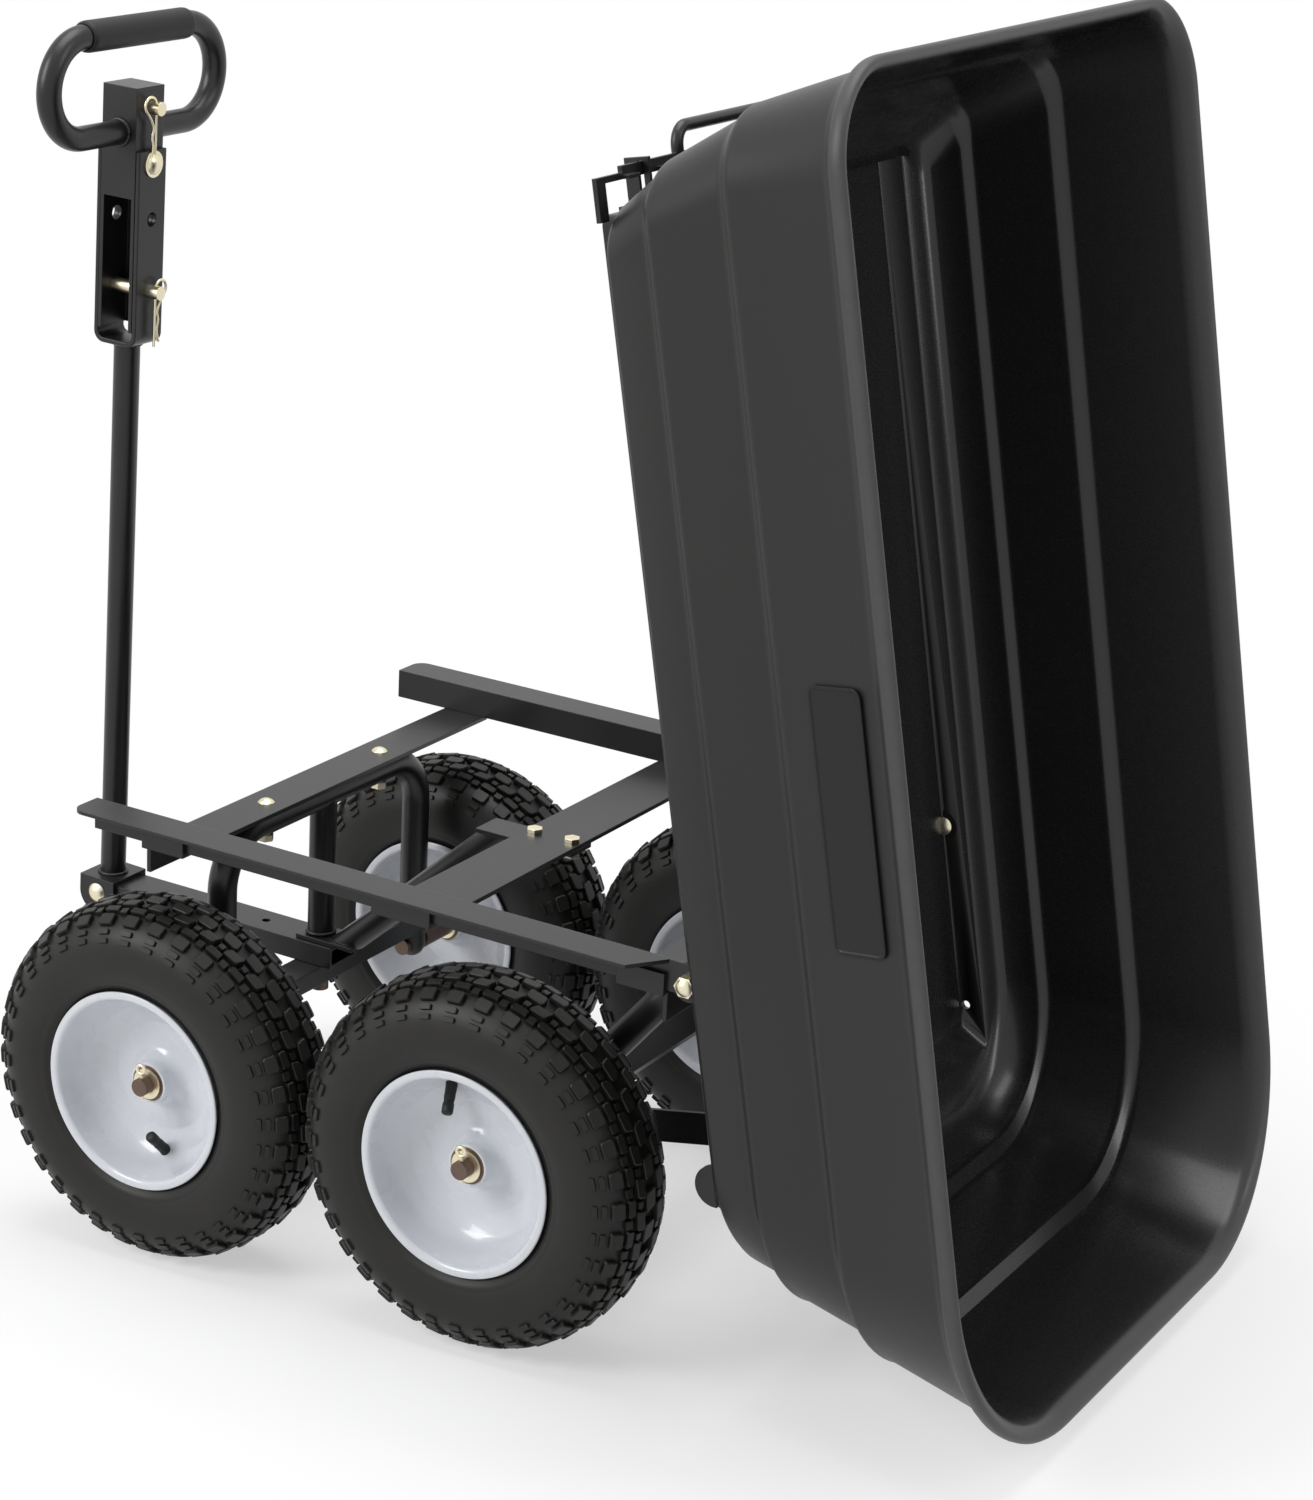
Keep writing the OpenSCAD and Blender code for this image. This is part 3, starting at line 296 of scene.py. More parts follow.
# Bushes between the tub and the rail ears: plain black nylon rings.
# They are pressed on the pivot bolts and hardly show.
def nylon():
    made = Finish("black_nylon")
    haze = made.noise(200.0, 3.0)
    made.feed(Base_Color=made.blend(haze, (0.012, 0.012, 0.012, 1), (0.022, 0.022, 0.022, 1)),
              Roughness=0.5 + haze * 0.15)
    return made.material


dress(nylon(), "pivot_bushes")


# Tyres: round-shouldered pneumatic tyres with a knobby tread.
# Black rubber, moulded in one piece: blocks over the crown, square lugs on the
# shoulders and two rows of small pads below them. The walls carry no words.
WHEELS = {"front_left": -1, "front_right": 1, "rear_left": -1, "rear_right": 1}
TUBE_RADIUS, CROWN_RADIUS = 0.118, 0.159
BEAD_ANGLE, SWEEP = -48, 276
LUGS = 36
# Each row of blocks: angle on the section, place in the pitch, length, half width, height and slant.
TREAD_ROWS = [(80, 1, 0.62, 0.0050, 0.0046, -0.25), (80, 0, 0.24, 0.0030, 0.0040, 0),
              (69, 0, 0.58, 0.0036, 0.0044, 0), (66, 1, 0.30, 0.0034, 0.0036, 0),
              (53, 0, 0.56, 0.0060, 0.0040, 0), (36.5, 0, 0.42, 0.0026, 0.0023, 0),
              (25, 0, 0.40, 0.0024, 0.0021, 0)]


def loft(shape, rows, smooth=True, capped=True):
    """Quads between neighbouring rows of vertices, each row closed on itself, and the two end faces."""
    for low, high in zip(rows, rows[1:]):
        for i in range(len(low)):
            j = (i + 1) % len(low)
            shape.faces.new((low[i], low[j], high[j], high[i])).smooth = smooth
    if capped:
        shape.faces.new(rows[0][::-1])
        shape.faces.new(rows[-1])


def mesh_of(shape, name):
    """The mesh of a finished shape, with its faces turned outwards."""
    bmesh.ops.recalc_face_normals(shape, faces=shape.faces)
    mesh = bpy.data.meshes.new(name)
    shape.to_mesh(mesh)
    shape.free()
    return mesh


def signed_power(value, power):
    return math.copysign(abs(value) ** power, value)


def tyre_point(angle, high=0.0408, wide=0.0486, high_power=0.86, wide_power=0.72):
    """A point of the section, as radius and distance from the middle of the tyre."""
    turn = math.radians(angle)
    return Vector((TUBE_RADIUS + high * signed_power(math.sin(turn), high_power),
                   wide * signed_power(math.cos(turn), wide_power)))


def tyre_section(rib_radius=0.0985, rib_half=0.0012, rib_height=0.0009):
    """The skin of the tyre with a fine rib on each wall, then its inner face."""
    outer = [tyre_point(BEAD_ANGLE + SWEEP * i / 84) for i in range(85)]
    for i, point in enumerate(outer):
        if abs(point.x - rib_radius) < rib_half:
            outer[i] = point + Vector((0, math.copysign(rib_height, point.y)))
    inner = [tyre_point(BEAD_ANGLE + SWEEP * i / 40, 0.033, 0.041) for i in range(41)]
    return outer + inner[::-1]


def turned(name, section, centre, side, steps=144):
    """A closed section of (radius, outward) points, turned about the axle."""
    shape = bmesh.new()
    rows = []
    for k in range(steps):
        a = 2 * math.pi * k / steps
        rows.append([shape.verts.new(centre + Vector((p[0] * math.sin(a), side * p[1], p[0] * math.cos(a))))
                     for p in section])
    loft(shape, rows + rows[:1], capped=False)
    return mesh_of(shape, name)


def lug(shape, angle, along, half_round, half_side, height, slant, root=0.0035, edge=0.0008):
    """One rubber block on the tyre's skin, at the top of the wheel."""
    spot = tyre_point(angle)
    ahead = (tyre_point(angle + 0.5) - tyre_point(angle - 0.5)).normalized()
    out = Vector((ahead.y, -ahead.x))
    if out.dot(spot - Vector((TUBE_RADIUS, 0))) < 0:
        out = -out
    layers = []
    corners = [(-1, -0.74), (-0.78, -1), (0.78, -1), (1, -0.74),
               (1, 0.74), (0.78, 1), (-0.78, 1), (-1, 0.74)]
    for lift, keep in ((-root, 1.0), (height - edge, 0.96), (height, 0.87)):
        layer = []
        for cx, cs in corners:
            flat = spot + ahead * (cs * half_side * keep) + out * lift
            layer.append(shape.verts.new((along + cx * half_round * keep + slant * cs * half_side,
                                          flat.y, flat.x)))
        layers.append(layer)
    loft(shape, layers, smooth=False)


def tread_pitch():
    """All the blocks of one pitch of the tread, on both halves of the tyre."""
    shape = bmesh.new()
    half = math.pi * CROWN_RADIUS / LUGS
    lug(shape, 90, 0, half * 0.66, 0.0066, 0.0046, 0.2)
    for mirror in (1, -1):
        for angle, along, share, half_side, height, slant in TREAD_ROWS:
            lug(shape, 90 + mirror * (90 - angle), along * half, share * half, half_side, height,
                slant * mirror)
    return mesh_of(shape, "tread_pitch")


def tread_tree():
    tree = bpy.data.node_groups.new("tread_round", "GeometryNodeTree")
    face = tree.interface
    face.new_socket("Pitch", in_out="INPUT", socket_type="NodeSocketGeometry")
    count = face.new_socket("Count", in_out="INPUT", socket_type="NodeSocketInt")
    step = face.new_socket("Step", in_out="INPUT", socket_type="NodeSocketFloat")
    axle = face.new_socket("Axle", in_out="INPUT", socket_type="NodeSocketVector")
    skin = face.new_socket("Rubber", in_out="INPUT", socket_type="NodeSocketMaterial")
    face.new_socket("Tread", in_out="OUTPUT", socket_type="NodeSocketGeometry")
    given = tree.nodes.new("NodeGroupInput")
    made = tree.nodes.new("NodeGroupOutput")
    points = tree.nodes.new("GeometryNodePoints")
    index = tree.nodes.new("GeometryNodeInputIndex")
    turn = tree.nodes.new("ShaderNodeMath")
    turn.operation = "MULTIPLY"
    pose = tree.nodes.new("ShaderNodeCombineXYZ")
    spread = tree.nodes.new("GeometryNodeInstanceOnPoints")
    real = tree.nodes.new("GeometryNodeRealizeInstances")
    paint = tree.nodes.new("GeometryNodeSetMaterial")
    link = tree.links.new
    link(given.outputs["Count"], points.inputs["Count"])
    link(given.outputs["Axle"], points.inputs["Position"])
    link(index.outputs[0], turn.inputs[0])
    link(given.outputs["Step"], turn.inputs[1])
    link(turn.outputs[0], pose.inputs["Y"])
    link(points.outputs[0], spread.inputs["Points"])
    link(given.outputs["Pitch"], spread.inputs["Instance"])
    link(pose.outputs[0], spread.inputs["Rotation"])
    link(spread.outputs["Instances"], real.inputs["Geometry"])
    link(real.outputs["Geometry"], paint.inputs["Geometry"])
    link(given.outputs["Rubber"], paint.inputs["Material"])
    link(paint.outputs["Geometry"], made.inputs["Tread"])
    return tree, {"count": count.identifier, "step": step.identifier, "axle": axle.identifier,
                  "rubber": skin.identifier}


def tyre_rubber():
    made = Finish("tyre_rubber", Specular_IOR_Level=0.3)
    bloom = made.noise(22.0, 5.0, 0.6)
    grain = made.noise(1100.0, 2.0)
    patches = made.noise(180.0, 6.0, 0.7)
    made.feed(Base_Color=made.blend(bloom, (0.0075, 0.0070, 0.0064, 1), (0.016, 0.0150, 0.0138, 1)),
              Roughness=0.33 + bloom * 0.16 + patches * 0.10,
              Normal=made.bump(grain * 0.7 + patches * 0.5, 0.12, 0.0005))
    return made.material


rubber = tyre_rubber()
tread, tread_sockets = tread_tree()
for wheel, side in WHEELS.items():
    centre = PLACES[wheel + "_roll"]
    piece = show("tyre_" + wheel + "_moulded", tread_pitch())
    layer = piece.modifiers.new("tread", "NODES")
    layer.node_group = tread
    layer[tread_sockets["count"]] = LUGS
    layer[tread_sockets["step"]] = 2 * math.pi / LUGS
    layer[tread_sockets["axle"]] = centre
    layer[tread_sockets["rubber"]] = rubber
    settle(piece)
    whole = bmesh.new()
    whole.from_mesh(piece.data)
    whole.from_mesh(turned("tyre_wall", tyre_section(), centre, side))
    for face in whole.faces:
        face.material_index = 0
    whole.to_mesh(piece.data)
    whole.free()
    piece.data.materials.clear()
    piece.data.materials.append(rubber)
    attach(piece, wheel + "_wheel")
    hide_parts("tyre_" + wheel)


# Rims: a pressed bowl with a rolled flange, welded to a hub tube.
# Sheet steel under thick, glossy white paint, slightly cool in tone.
def white_gloss():
    made = Finish("white_gloss_paint", Coat_Roughness=0.06, Coat_Weight=0.5)
    wave = made.noise(26.0, 2.0)
    speck = made.noise(700.0, 3.0)
    made.feed(Base_Color=made.blend(wave, (0.60, 0.62, 0.66, 1), (0.66, 0.68, 0.72, 1)),
              Roughness=0.22 + wave * 0.10,
              Normal=made.bump(wave * 0.8 + speck * 0.1, 0.05, 0.002))
    return made.material


def rim_section():
    """One pressed bowl from the hub tube out to its rolled flange, then its twin, back to back."""
    seat, flange, deep, sheet = 0.0854, 0.0431, 0.033, 0.0025
    fillet, lip, hem, hem_radius = 0.014, 0.004, 0.00125, 0.0898
    half = [(0.0136, 0.012), (0.0161, 0.012), (0.0161, 0.0226), (0.0166, 0.0230), (0.0181, 0.0230),
            (0.0186, 0.0225)]
    half += [(0.0326 - fillet * math.cos(a), 0.0165 - fillet * math.sin(a))
             for a in (math.pi / 2 * k / 10 for k in range(11))]
    half += [(0.0485, 0.0025), (0.0500, 0.0027), (0.0511, 0.0032)]
    half += [(seat - deep * (1 - math.cos(a)) - sheet, flange * (1 - math.sin(a)) + sheet)
             for a in (math.pi / 2 * (1 - k / 26) for k in range(9, 25))]
    half += [(seat - sheet + lip * (1 - math.cos(a)), flange + sheet - lip * (1 - math.sin(a)))
             for a in (math.pi / 2 * k / 6 for k in range(7))]
    half += [(hem_radius + hem * math.sin(a), flange + hem * (1 + math.cos(a)))
             for a in (math.pi * k / 8 for k in range(9))]
    half += [(seat - deep * (1 - math.cos(a)), flange * (1 - math.sin(a)))
             for a in (math.radians(75) * k / 22 for k in range(23))]
    return half + [(r, -y) for r, y in half[::-1]]


gloss = white_gloss()
for wheel, side in WHEELS.items():
    piece = show("rim_" + wheel + "_pressed", turned("rim_" + wheel + "_pressed", rim_section(),
                                                      PLACES[wheel + "_roll"], side))
    piece.data.materials.append(gloss)
    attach(piece, wheel + "_wheel")
    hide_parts("rim_" + wheel)


# Valve stems: moulded rubber with a swollen foot, a ribbed neck and a screwed cap.
# Each is pulled through its rim from inside and leans towards the hub.
def soft_rubber():
    made = Finish("soft_rubber", Specular_IOR_Level=0.3)
    skin = made.noise(60.0, 4.0)
    pores = made.noise(900.0, 3.0)
    made.feed(Base_Color=made.blend(skin, (0.008, 0.008, 0.008, 1), (0.018, 0.018, 0.0185, 1)),
              Roughness=0.42 + skin * 0.18,
              Normal=made.bump(pores, 0.15, 0.0005, made.soft_edge(0.0012)))
    return made.material


def valve_mesh(name, centre, side, turn, foot_radius=0.0702, foot_depth=0.0068, sides=20):
    """A stem of (radius, along) points, set on the rim and turned round the axle with it."""
    lean = math.radians(47.6)
    stem = [(0.0066, -0.004), (0.0066, -0.001), (0.0057, 0.0006), (0.0055, 0.003), (0.0050, 0.005),
            (0.0047, 0.014), (0.0049, 0.015), (0.0046, 0.016), (0.0048, 0.017), (0.0044, 0.019),
            (0.0043, 0.0212), (0.0049, 0.0218), (0.0049, 0.0295), (0.0042, 0.0308), (0.0015, 0.0310)]
    pose = Matrix.Translation(centre) @ Matrix.Rotation(math.radians(turn), 4, "Y")
    shape = bmesh.new()
    rows = []
    for r, along in stem:
        row = []
        for a in (2 * math.pi * k / sides for k in range(sides)):
            up = r * math.sin(a)
            spot = Vector((r * math.cos(a),
                           side * (foot_depth + along * math.cos(lean) + up * math.sin(lean)),
                           foot_radius - along * math.sin(lean) + up * math.cos(lean)))
            row.append(shape.verts.new(pose @ spot))
        rows.append(row)
    loft(shape, rows)
    return mesh_of(shape, name)


grip_skin = soft_rubber()
for wheel, turn in {"front_left": 176, "front_right": 0, "rear_left": -20, "rear_right": 0}.items():
    name = "valve_" + wheel + "_moulded"
    piece = show(name, valve_mesh(name, PLACES[wheel + "_roll"], WHEELS[wheel], turn))
    piece.data.materials.append(grip_skin)
    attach(piece, wheel + "_wheel")
    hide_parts("valve_" + wheel)


# Tongue, yoke, shaft, clevis, hitch block and grip loop of the handle.
# Coated like the frame. The grip's sleeve is a plain tube of rubber with rounded ends.
# The clevis is one flat bar, bent into a U and drilled for the grip's bolt and the pins.
dress(coat, "tongue", "yoke", "handle_shaft", "hitch_block", "grip_loop")

LEAN = math.radians(5.14)
HINGE = PLACES["handle_fold"]
SHAFT_TOP, BOLT_RISE, HITCH_STEP, HITCH_DROP = 0.535, 0.166, 0.050, 0.115


def from_handle(x, y, z):
    """A point of the handle, which leans by LEAN from its hinge, in the part's frame."""
    return HINGE + Vector((x * math.cos(LEAN) + z * math.sin(LEAN), y,
                           z * math.cos(LEAN) - x * math.sin(LEAN)))


def sleeve_mesh(half=0.0705, middle=0.8160, bore=0.0112, end_round=0.0122, swell=0.0018, edge=0.006):
    """A tube along the grip's bar, a little thicker past its rounded ends."""
    shape = bmesh.new()
    rows = []
    stations = [(-half, bore)]
    for share in (k / 60 for k in range(61)):
        end = min(share, 1 - share) * 2 * half
        rounding = math.sqrt(max(0.0, 1 - (1 - min(1.0, end / edge)) ** 2))
        stations.append((half * (2 * share - 1), end_round + swell * rounding))
    stations.append((half, bore))
    for y, r in stations:
        rows.append([shape.verts.new(from_handle(r * math.cos(a), y, middle + r * math.sin(a)))
                     for a in (2 * math.pi * i / 40 for i in range(40))])
    loft(shape, rows + rows[:1], capped=False)
    return mesh_of(shape, "grip_sleeve_moulded")


def clevis_mesh(foot=SHAFT_TOP, rise=0.178, half=0.019, outer=0.0238, strap=0.0045, bend=0.0105, edge=0.0008):
    """One flat bar bent into a U, with rolled lower corners and slightly broken edges."""
    def path(inset):
        r = bend - inset
        line = [(inset - outer, foot + rise), (inset - outer, foot + bend)]
        line += [(bend - outer - r * math.cos(a), foot + bend - r * math.sin(a))
                 for a in (math.pi / 2 * k / 12 for k in range(1, 13))]
        return line + [(-x, z) for x, z in line[::-1]]
    shape = bmesh.new()
    rows = []
    for y, inset in ((-half, edge), (edge - half, 0.0), (half - edge, 0.0), (half, edge)):
        section = path(inset) + path(strap - inset)[::-1]
        rows.append([shape.verts.new(from_handle(x, y, z)) for x, z in section])
    loft(shape, rows, smooth=False, capped=False)
    count = len(rows[0])
    for row in (rows[0], rows[-1]):
        for i in range(count // 2 - 1):
            shape.faces.new((row[i], row[i + 1], row[count - 2 - i], row[count - 1 - i]))
    return mesh_of(shape, "clevis_bent")


def drill(places, along, r, length, segments):
    """Round bars in one direction, through the given places, that cut holes."""
    shape = bmesh.new()
    turn = along.to_track_quat("Z", "Y").to_matrix().to_4x4()
    for place in places:
        bmesh.ops.create_cone(shape, cap_ends=True, segments=segments, radius1=r, radius2=r, depth=length,
                              matrix=Matrix.Translation(place) @ turn)
    return mesh_of(shape, "drill")


def carve(piece, mesh, operation):
    """Joins a mesh to a piece or cuts it away."""
    tool = show("tool", mesh)
    layer = piece.modifiers.new("carve", "BOOLEAN")
    layer.object = tool
    layer.operation = operation
    settle(piece)
    bpy.data.objects.remove(tool)


handle_x = from_handle(1, 0, 0) - HINGE
handle_z = from_handle(0, 0, 1) - HINGE
clevis = show("clevis_bent", clevis_mesh())
clevis.data.materials.append(coat)
bolt_z = SHAFT_TOP + BOLT_RISE
pin_hole, bolt_hole = 0.0066, 0.0051
for levels, r in (((bolt_z - HITCH_STEP, bolt_z - HITCH_DROP), pin_hole), ((bolt_z,), bolt_hole)):
    places = [from_handle(0, 0, level) for level in levels]
    carve(clevis, drill(places, handle_x, r, length=0.07, segments=32), "DIFFERENCE")
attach(clevis, "handle")
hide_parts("clevis")

sleeve = show("grip_sleeve_moulded", sleeve_mesh())
sleeve.data.materials.append(grip_skin)
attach(sleeve, "handle")
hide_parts("grip_sleeve")

shaft_round, shaft_ends = 0.0125, (0.0155, 0.5345)
loop_round, loop_z, loop_sides = 0.0114, 0.728, (0.0195, -0.0195)
weld("handle_welds", [ring_of(from_handle(0, 0, z), shaft_round, handle_x, across) for z in shaft_ends]
     + [ring_of(from_handle(0, y, loop_z), loop_round, handle_x, handle_z) for y in loop_sides], "handle")


# Hairpin clips of the two hitch pins: one straight leg through the pin, an open eye,
# and a waved leg that snaps round the pin.
# Spring wire, bent cold and plated with yellow zinc like the pins.
def clip_path(way, eye_round=7.6, eye_start=2.8):
    """The middle line of one clip, set out in millimetres and given in metres."""
    eye = [(eye_round - eye_round * math.cos(a), eye_start + eye_round * math.sin(a))
           for a in (math.radians(205) * k / 20 for k in range(21))]
    bends = [(0, -50), (0, -30), (0, -8), *eye, (9.2, -6.5), (5.2, -12.5), (2.9, -18), (4.6, -26),
             (3.0, -34), (3.8, -40), (6.4, -46)]
    return [(way * y / 1000, z / 1000) for y, z in bends]


def wire(name, path, r=0.0013):
    """A wire along a smooth path through the given points."""
    curve = bpy.data.curves.new(name, "CURVE")
    curve.dimensions = "3D"
    curve.bevel_depth = r
    curve.bevel_resolution = 2
    curve.use_fill_caps = True
    curve.resolution_u = 6
    line = curve.splines.new("BEZIER")
    line.bezier_points.add(len(path) - 1)
    for knot, spot in zip(line.bezier_points, path):
        knot.co = spot
        knot.handle_left_type = knot.handle_right_type = "AUTO"
    bent = show(name + "_line", curve)
    bpy.context.view_layer.update()
    mesh = bpy.data.meshes.new_from_object(bent.evaluated_get(bpy.context.evaluated_depsgraph_get()))
    bpy.data.objects.remove(bent)
    mesh.name = name
    for face in mesh.polygons:
        face.use_smooth = True
    return mesh


clip_shape = bmesh.new()
for out, height, way in ((0.0303, 0.586, 1), (0.0255, 0.751, -1)):
    clip_shape.from_mesh(wire("clip", [from_handle(out, y, height + z) for y, z in clip_path(way)]))
clip_mesh = bpy.data.meshes.new("hairpins_bent")
clip_shape.to_mesh(clip_mesh)
clip_shape.free()
clips = show("hairpins_bent", clip_mesh)
clips.data.materials.append(plated)
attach(clips, "handle")
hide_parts("hairpins")


# The tub: one rotomoulded shell of charcoal polyethylene with a rolled lip, two ledges
# round its walls and a floor panel that drops between the rails.
# Its skin is satin outside and smoother inside. Its inside is painted darker as painted shade, and a painted
# highlight makes it paler along the lip.
PIVOT = PLACES["tub_tip"]
TIP = math.radians(82.40)
BASE, DEPTH = 0.018, 0.237
SIDE, SIDE_SPREAD = 0.258, 0.057
HANDLE_END, HANDLE_SPREAD = -0.607, 0.097
DUMP_END, DUMP_SPREAD = 0.255, 0.121
HANDLE_ROUND, HANDLE_GROWTH = 0.038, 0.040
DUMP_ROUND, DUMP_GROWTH = 0.112, 0.053


def from_tub(u, v, w):
    """A point of the tub, as it lies on the rails, in the part's frame with the tub tipped."""
    return PIVOT + Vector((u * math.cos(TIP) + w * math.sin(TIP), v, w * math.cos(TIP) - u * math.sin(TIP)))


def tub_ring(height, side, handle, dump, inset=0.0):
    """One level of the wall: its height, and how far its sides and ends have spread by then."""
    return box_ring(HANDLE_END - handle * HANDLE_SPREAD + inset, DUMP_END + dump * DUMP_SPREAD - inset,
                    SIDE + side * SIDE_SPREAD - inset, HANDLE_ROUND + side * HANDLE_GROWTH - inset,
                    DUMP_ROUND + side * DUMP_GROWTH - inset, BASE + height * DEPTH)


def box_ring(front, back, half, front_round, back_round, w, steps=22):
    """A level box with round corners, as a ring of points."""
    ring = []
    for u, v, r, start in ((back - back_round, half - back_round, back_round, 0),
                           (front + front_round, half - front_round, front_round, 90),
                           (front + front_round, front_round - half, front_round, 180),
                           (back - back_round, back_round - half, back_round, 270)):
        for k in range(steps + 1):
            a = math.radians(start + 90 * k / steps)
            ring.append((u + r * math.cos(a), v + r * math.sin(a), w))
    return ring


def rounded(points, reach, most=0.45, steps=5):
    """Points of an open line with its inner corners rounded off."""
    path = [Vector(points[0])]
    for before, here, after in zip(points, points[1:], points[2:]):
        before, here, after = Vector(before), Vector(here), Vector(after)
        first = here + (before - here).normalized() * min(reach, (before - here).length * most)
        last = here + (after - here).normalized() * min(reach, (after - here).length * most)
        for k in range(steps + 1):
            t = k / steps
            path.append(first.lerp(here, t).lerp(here.lerp(last, t), t))
    path.append(Vector(points[-1]))
    return path


def tub_levels():
    """Height and spread shares of the wall, with its ledges rounded."""
    corners = [(0.02, 0.03, 0.04, 0.03), (0.170, 0.12, 0.27, 0.135), (0.196, 0.222, 0.347, 0.252),
               (0.495, 0.41, 0.64, 0.465), (0.525, 0.52, 0.715, 0.59), (0.90, 0.84, 0.90, 0.87)]
    sizes = (DEPTH, SIDE_SPREAD, HANDLE_SPREAD, DUMP_SPREAD)
    scaled = [tuple(share * size for share, size in zip(corner, sizes)) for corner in corners]
    return [tuple(part / size for part, size in zip(point, sizes)) for point in rounded(scaled, 0.0048)]


def tub_mesh(wall=0.005):
    """Rings from the floor panel's underside up the outside, over the lip and down the inside."""
    levels = tub_levels()
    rings = [(box_ring(-0.599, 0.188, 0.221, 0.006, 0.006, -0.0048), 0),
             (box_ring(-0.602, 0.192, 0.224, 0.008, 0.008, -0.0025), 0),
             (box_ring(-0.602, 0.2075, 0.224, 0.008, 0.008, 0.0165), 0),
             (box_ring(-0.6035, 0.2105, 0.2265, 0.008, 0.010, 0.0180), 0),
             (tub_ring(0, 0, 0, 0, 0.0035), 0), (tub_ring(0.006, 0.012, 0.014, 0.012, 0.0008), 0)]
    rings += [(tub_ring(*level), 0) for level in levels]
    rim = [(0.925, 0.885, 0.925, 0.900), (0.935, 0.935, 0.950, 0.940), (0.943, 0.968, 0.972, 0.968),
           (0.953, 0.988, 0.989, 0.988), (0.968, 0.998, 0.998, 0.998), (0.984, 1.0, 1.0, 1.0),
           (0.994, 0.990, 0.990, 0.990), (0.999, 0.972, 0.976, 0.972), (1.0, 0.950, 0.962, 0.951),
           (0.998, 0.930, 0.947, 0.933)]
    # Each lip ring carries a share of painted highlight, which rises over the first rings of the roll.
    rings += [(tub_ring(*level), min(1.0, i / 4)) for i, level in enumerate(rim)]
    lip_end = len(rings)
    rings += [(tub_ring(0.990, 0.905, 0.934, 0.913, 0.0015), 0.9),
              (tub_ring(0.975, 0.893, 0.926, 0.902, 0.0035), 0.5),
              (tub_ring(0.94, 0.872, 0.913, 0.888, wall), 0.15)]
    rings += [(tub_ring(*level, wall), 0) for level in levels[::-1] if level[0] > 0.05]
    rings += [(tub_ring(0.052, 0.035, 0.075, 0.04, wall), 0),
              (tub_ring(0.032, 0.015, 0.04, 0.018, wall + 0.002), 0),
              (tub_ring(wall / DEPTH, 0, 0, 0, wall + 0.010), 0),
              (box_ring(-0.5985, 0.2075, 0.2205, 0.008, 0.008, 0.0230), 0),
              (box_ring(-0.597, 0.2055, 0.219, 0.007, 0.008, 0.0215), 0),
              (box_ring(-0.597, 0.190, 0.219, 0.007, 0.008, 0.0022), 0),
              (box_ring(-0.594, 0.186, 0.216, 0.006, 0.006, 0.0002), 0)]
    shape = bmesh.new()
    # This layer marks the rings of the lip, which the material paints paler as a painted highlight.
    lip_highlight = shape.verts.layers.float.new("lip_painted_highlight")
    inside = shape.verts.layers.float.new("inside")
    rows = []
    for level, (ring, lip_lit) in enumerate(rings):
        row = []
        for point in ring:
            vertex = shape.verts.new(from_tub(*point))
            vertex[lip_highlight] = lip_lit
            vertex[inside] = 1.0 if level > lip_end else 0.0
            row.append(vertex)
        rows.append(row)
    loft(shape, rows)
    return mesh_of(shape, "tub_moulded")


def poly_skin():
    made = Finish("charcoal_poly", Coat_Roughness=0.16, Specular_IOR_Level=0.28)
    cloud = made.noise(3.0, 3.0)
    grain = made.noise(420.0, 3.0, 0.6)
    wave = made.noise(9.0, 2.0)
    patches = made.noise(75.0, 6.0, 0.72)
    lip_highlight = made.node("ShaderNodeAttribute", {"attribute_name": "lip_painted_highlight"}, {}, "Fac")
    inside = made.node("ShaderNodeAttribute", {"attribute_name": "inside"}, {}, "Fac")
    body = made.blend(cloud, (0.013, 0.0128, 0.0125, 1), (0.019, 0.0187, 0.0182, 1))
    # The inside of the tub is painted darker than the outside: painted shade in the tub's hollow. The same
    # mask also makes the inside glossier.
    body = made.blend(inside * 0.5, body, (0.006, 0.006, 0.0062, 1))
    # The lip is painted a paler grey where its layer is set: a painted highlight along the roll, broken up by
    # noise.
    made.feed(Base_Color=made.blend(lip_highlight * (0.55 + patches * 0.35), body, (0.082, 0.081, 0.084, 1)),
              Roughness=0.30 + grain * 0.10 + patches * 0.08 + lip_highlight * 0.05 - inside * 0.12,
              Coat_Weight=inside * 0.28,
              Normal=made.bump(grain * (0.35 - inside * 0.31) + wave * 1.2, 0.10, 0.0016))
    return made.material


def pivot_pads():
    """The two round pads under the heads of the pivot bolts, in the sides of the sunk floor."""
    shape = bmesh.new()
    profile = [(0.0134, 0.2176), (0.0144, 0.2179), (0.0148, 0.2187), (0.0148, 0.2228)]
    for side in (-1, 1):
        rows = [[shape.verts.new(from_tub(r * math.cos(a), side * v, r * math.sin(a)))
                 for a in (2 * math.pi * k / 40 for k in range(40))] for r, v in profile]
        loft(shape, rows)
    return mesh_of(shape, "pivot_pads")


tub = show("tub_moulded", tub_mesh())
tub.data.materials.append(poly_skin())
carve(tub, pivot_pads(), "UNION")
hole_u, hole_w, hole_round = 0.168, 0.0052, 0.004
side_holes = drill([from_tub(hole_u, 0, hole_w)], across, hole_round, length=0.6, segments=24)
carve(tub, side_holes, "DIFFERENCE")
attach(tub, "tub")
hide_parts("tub")


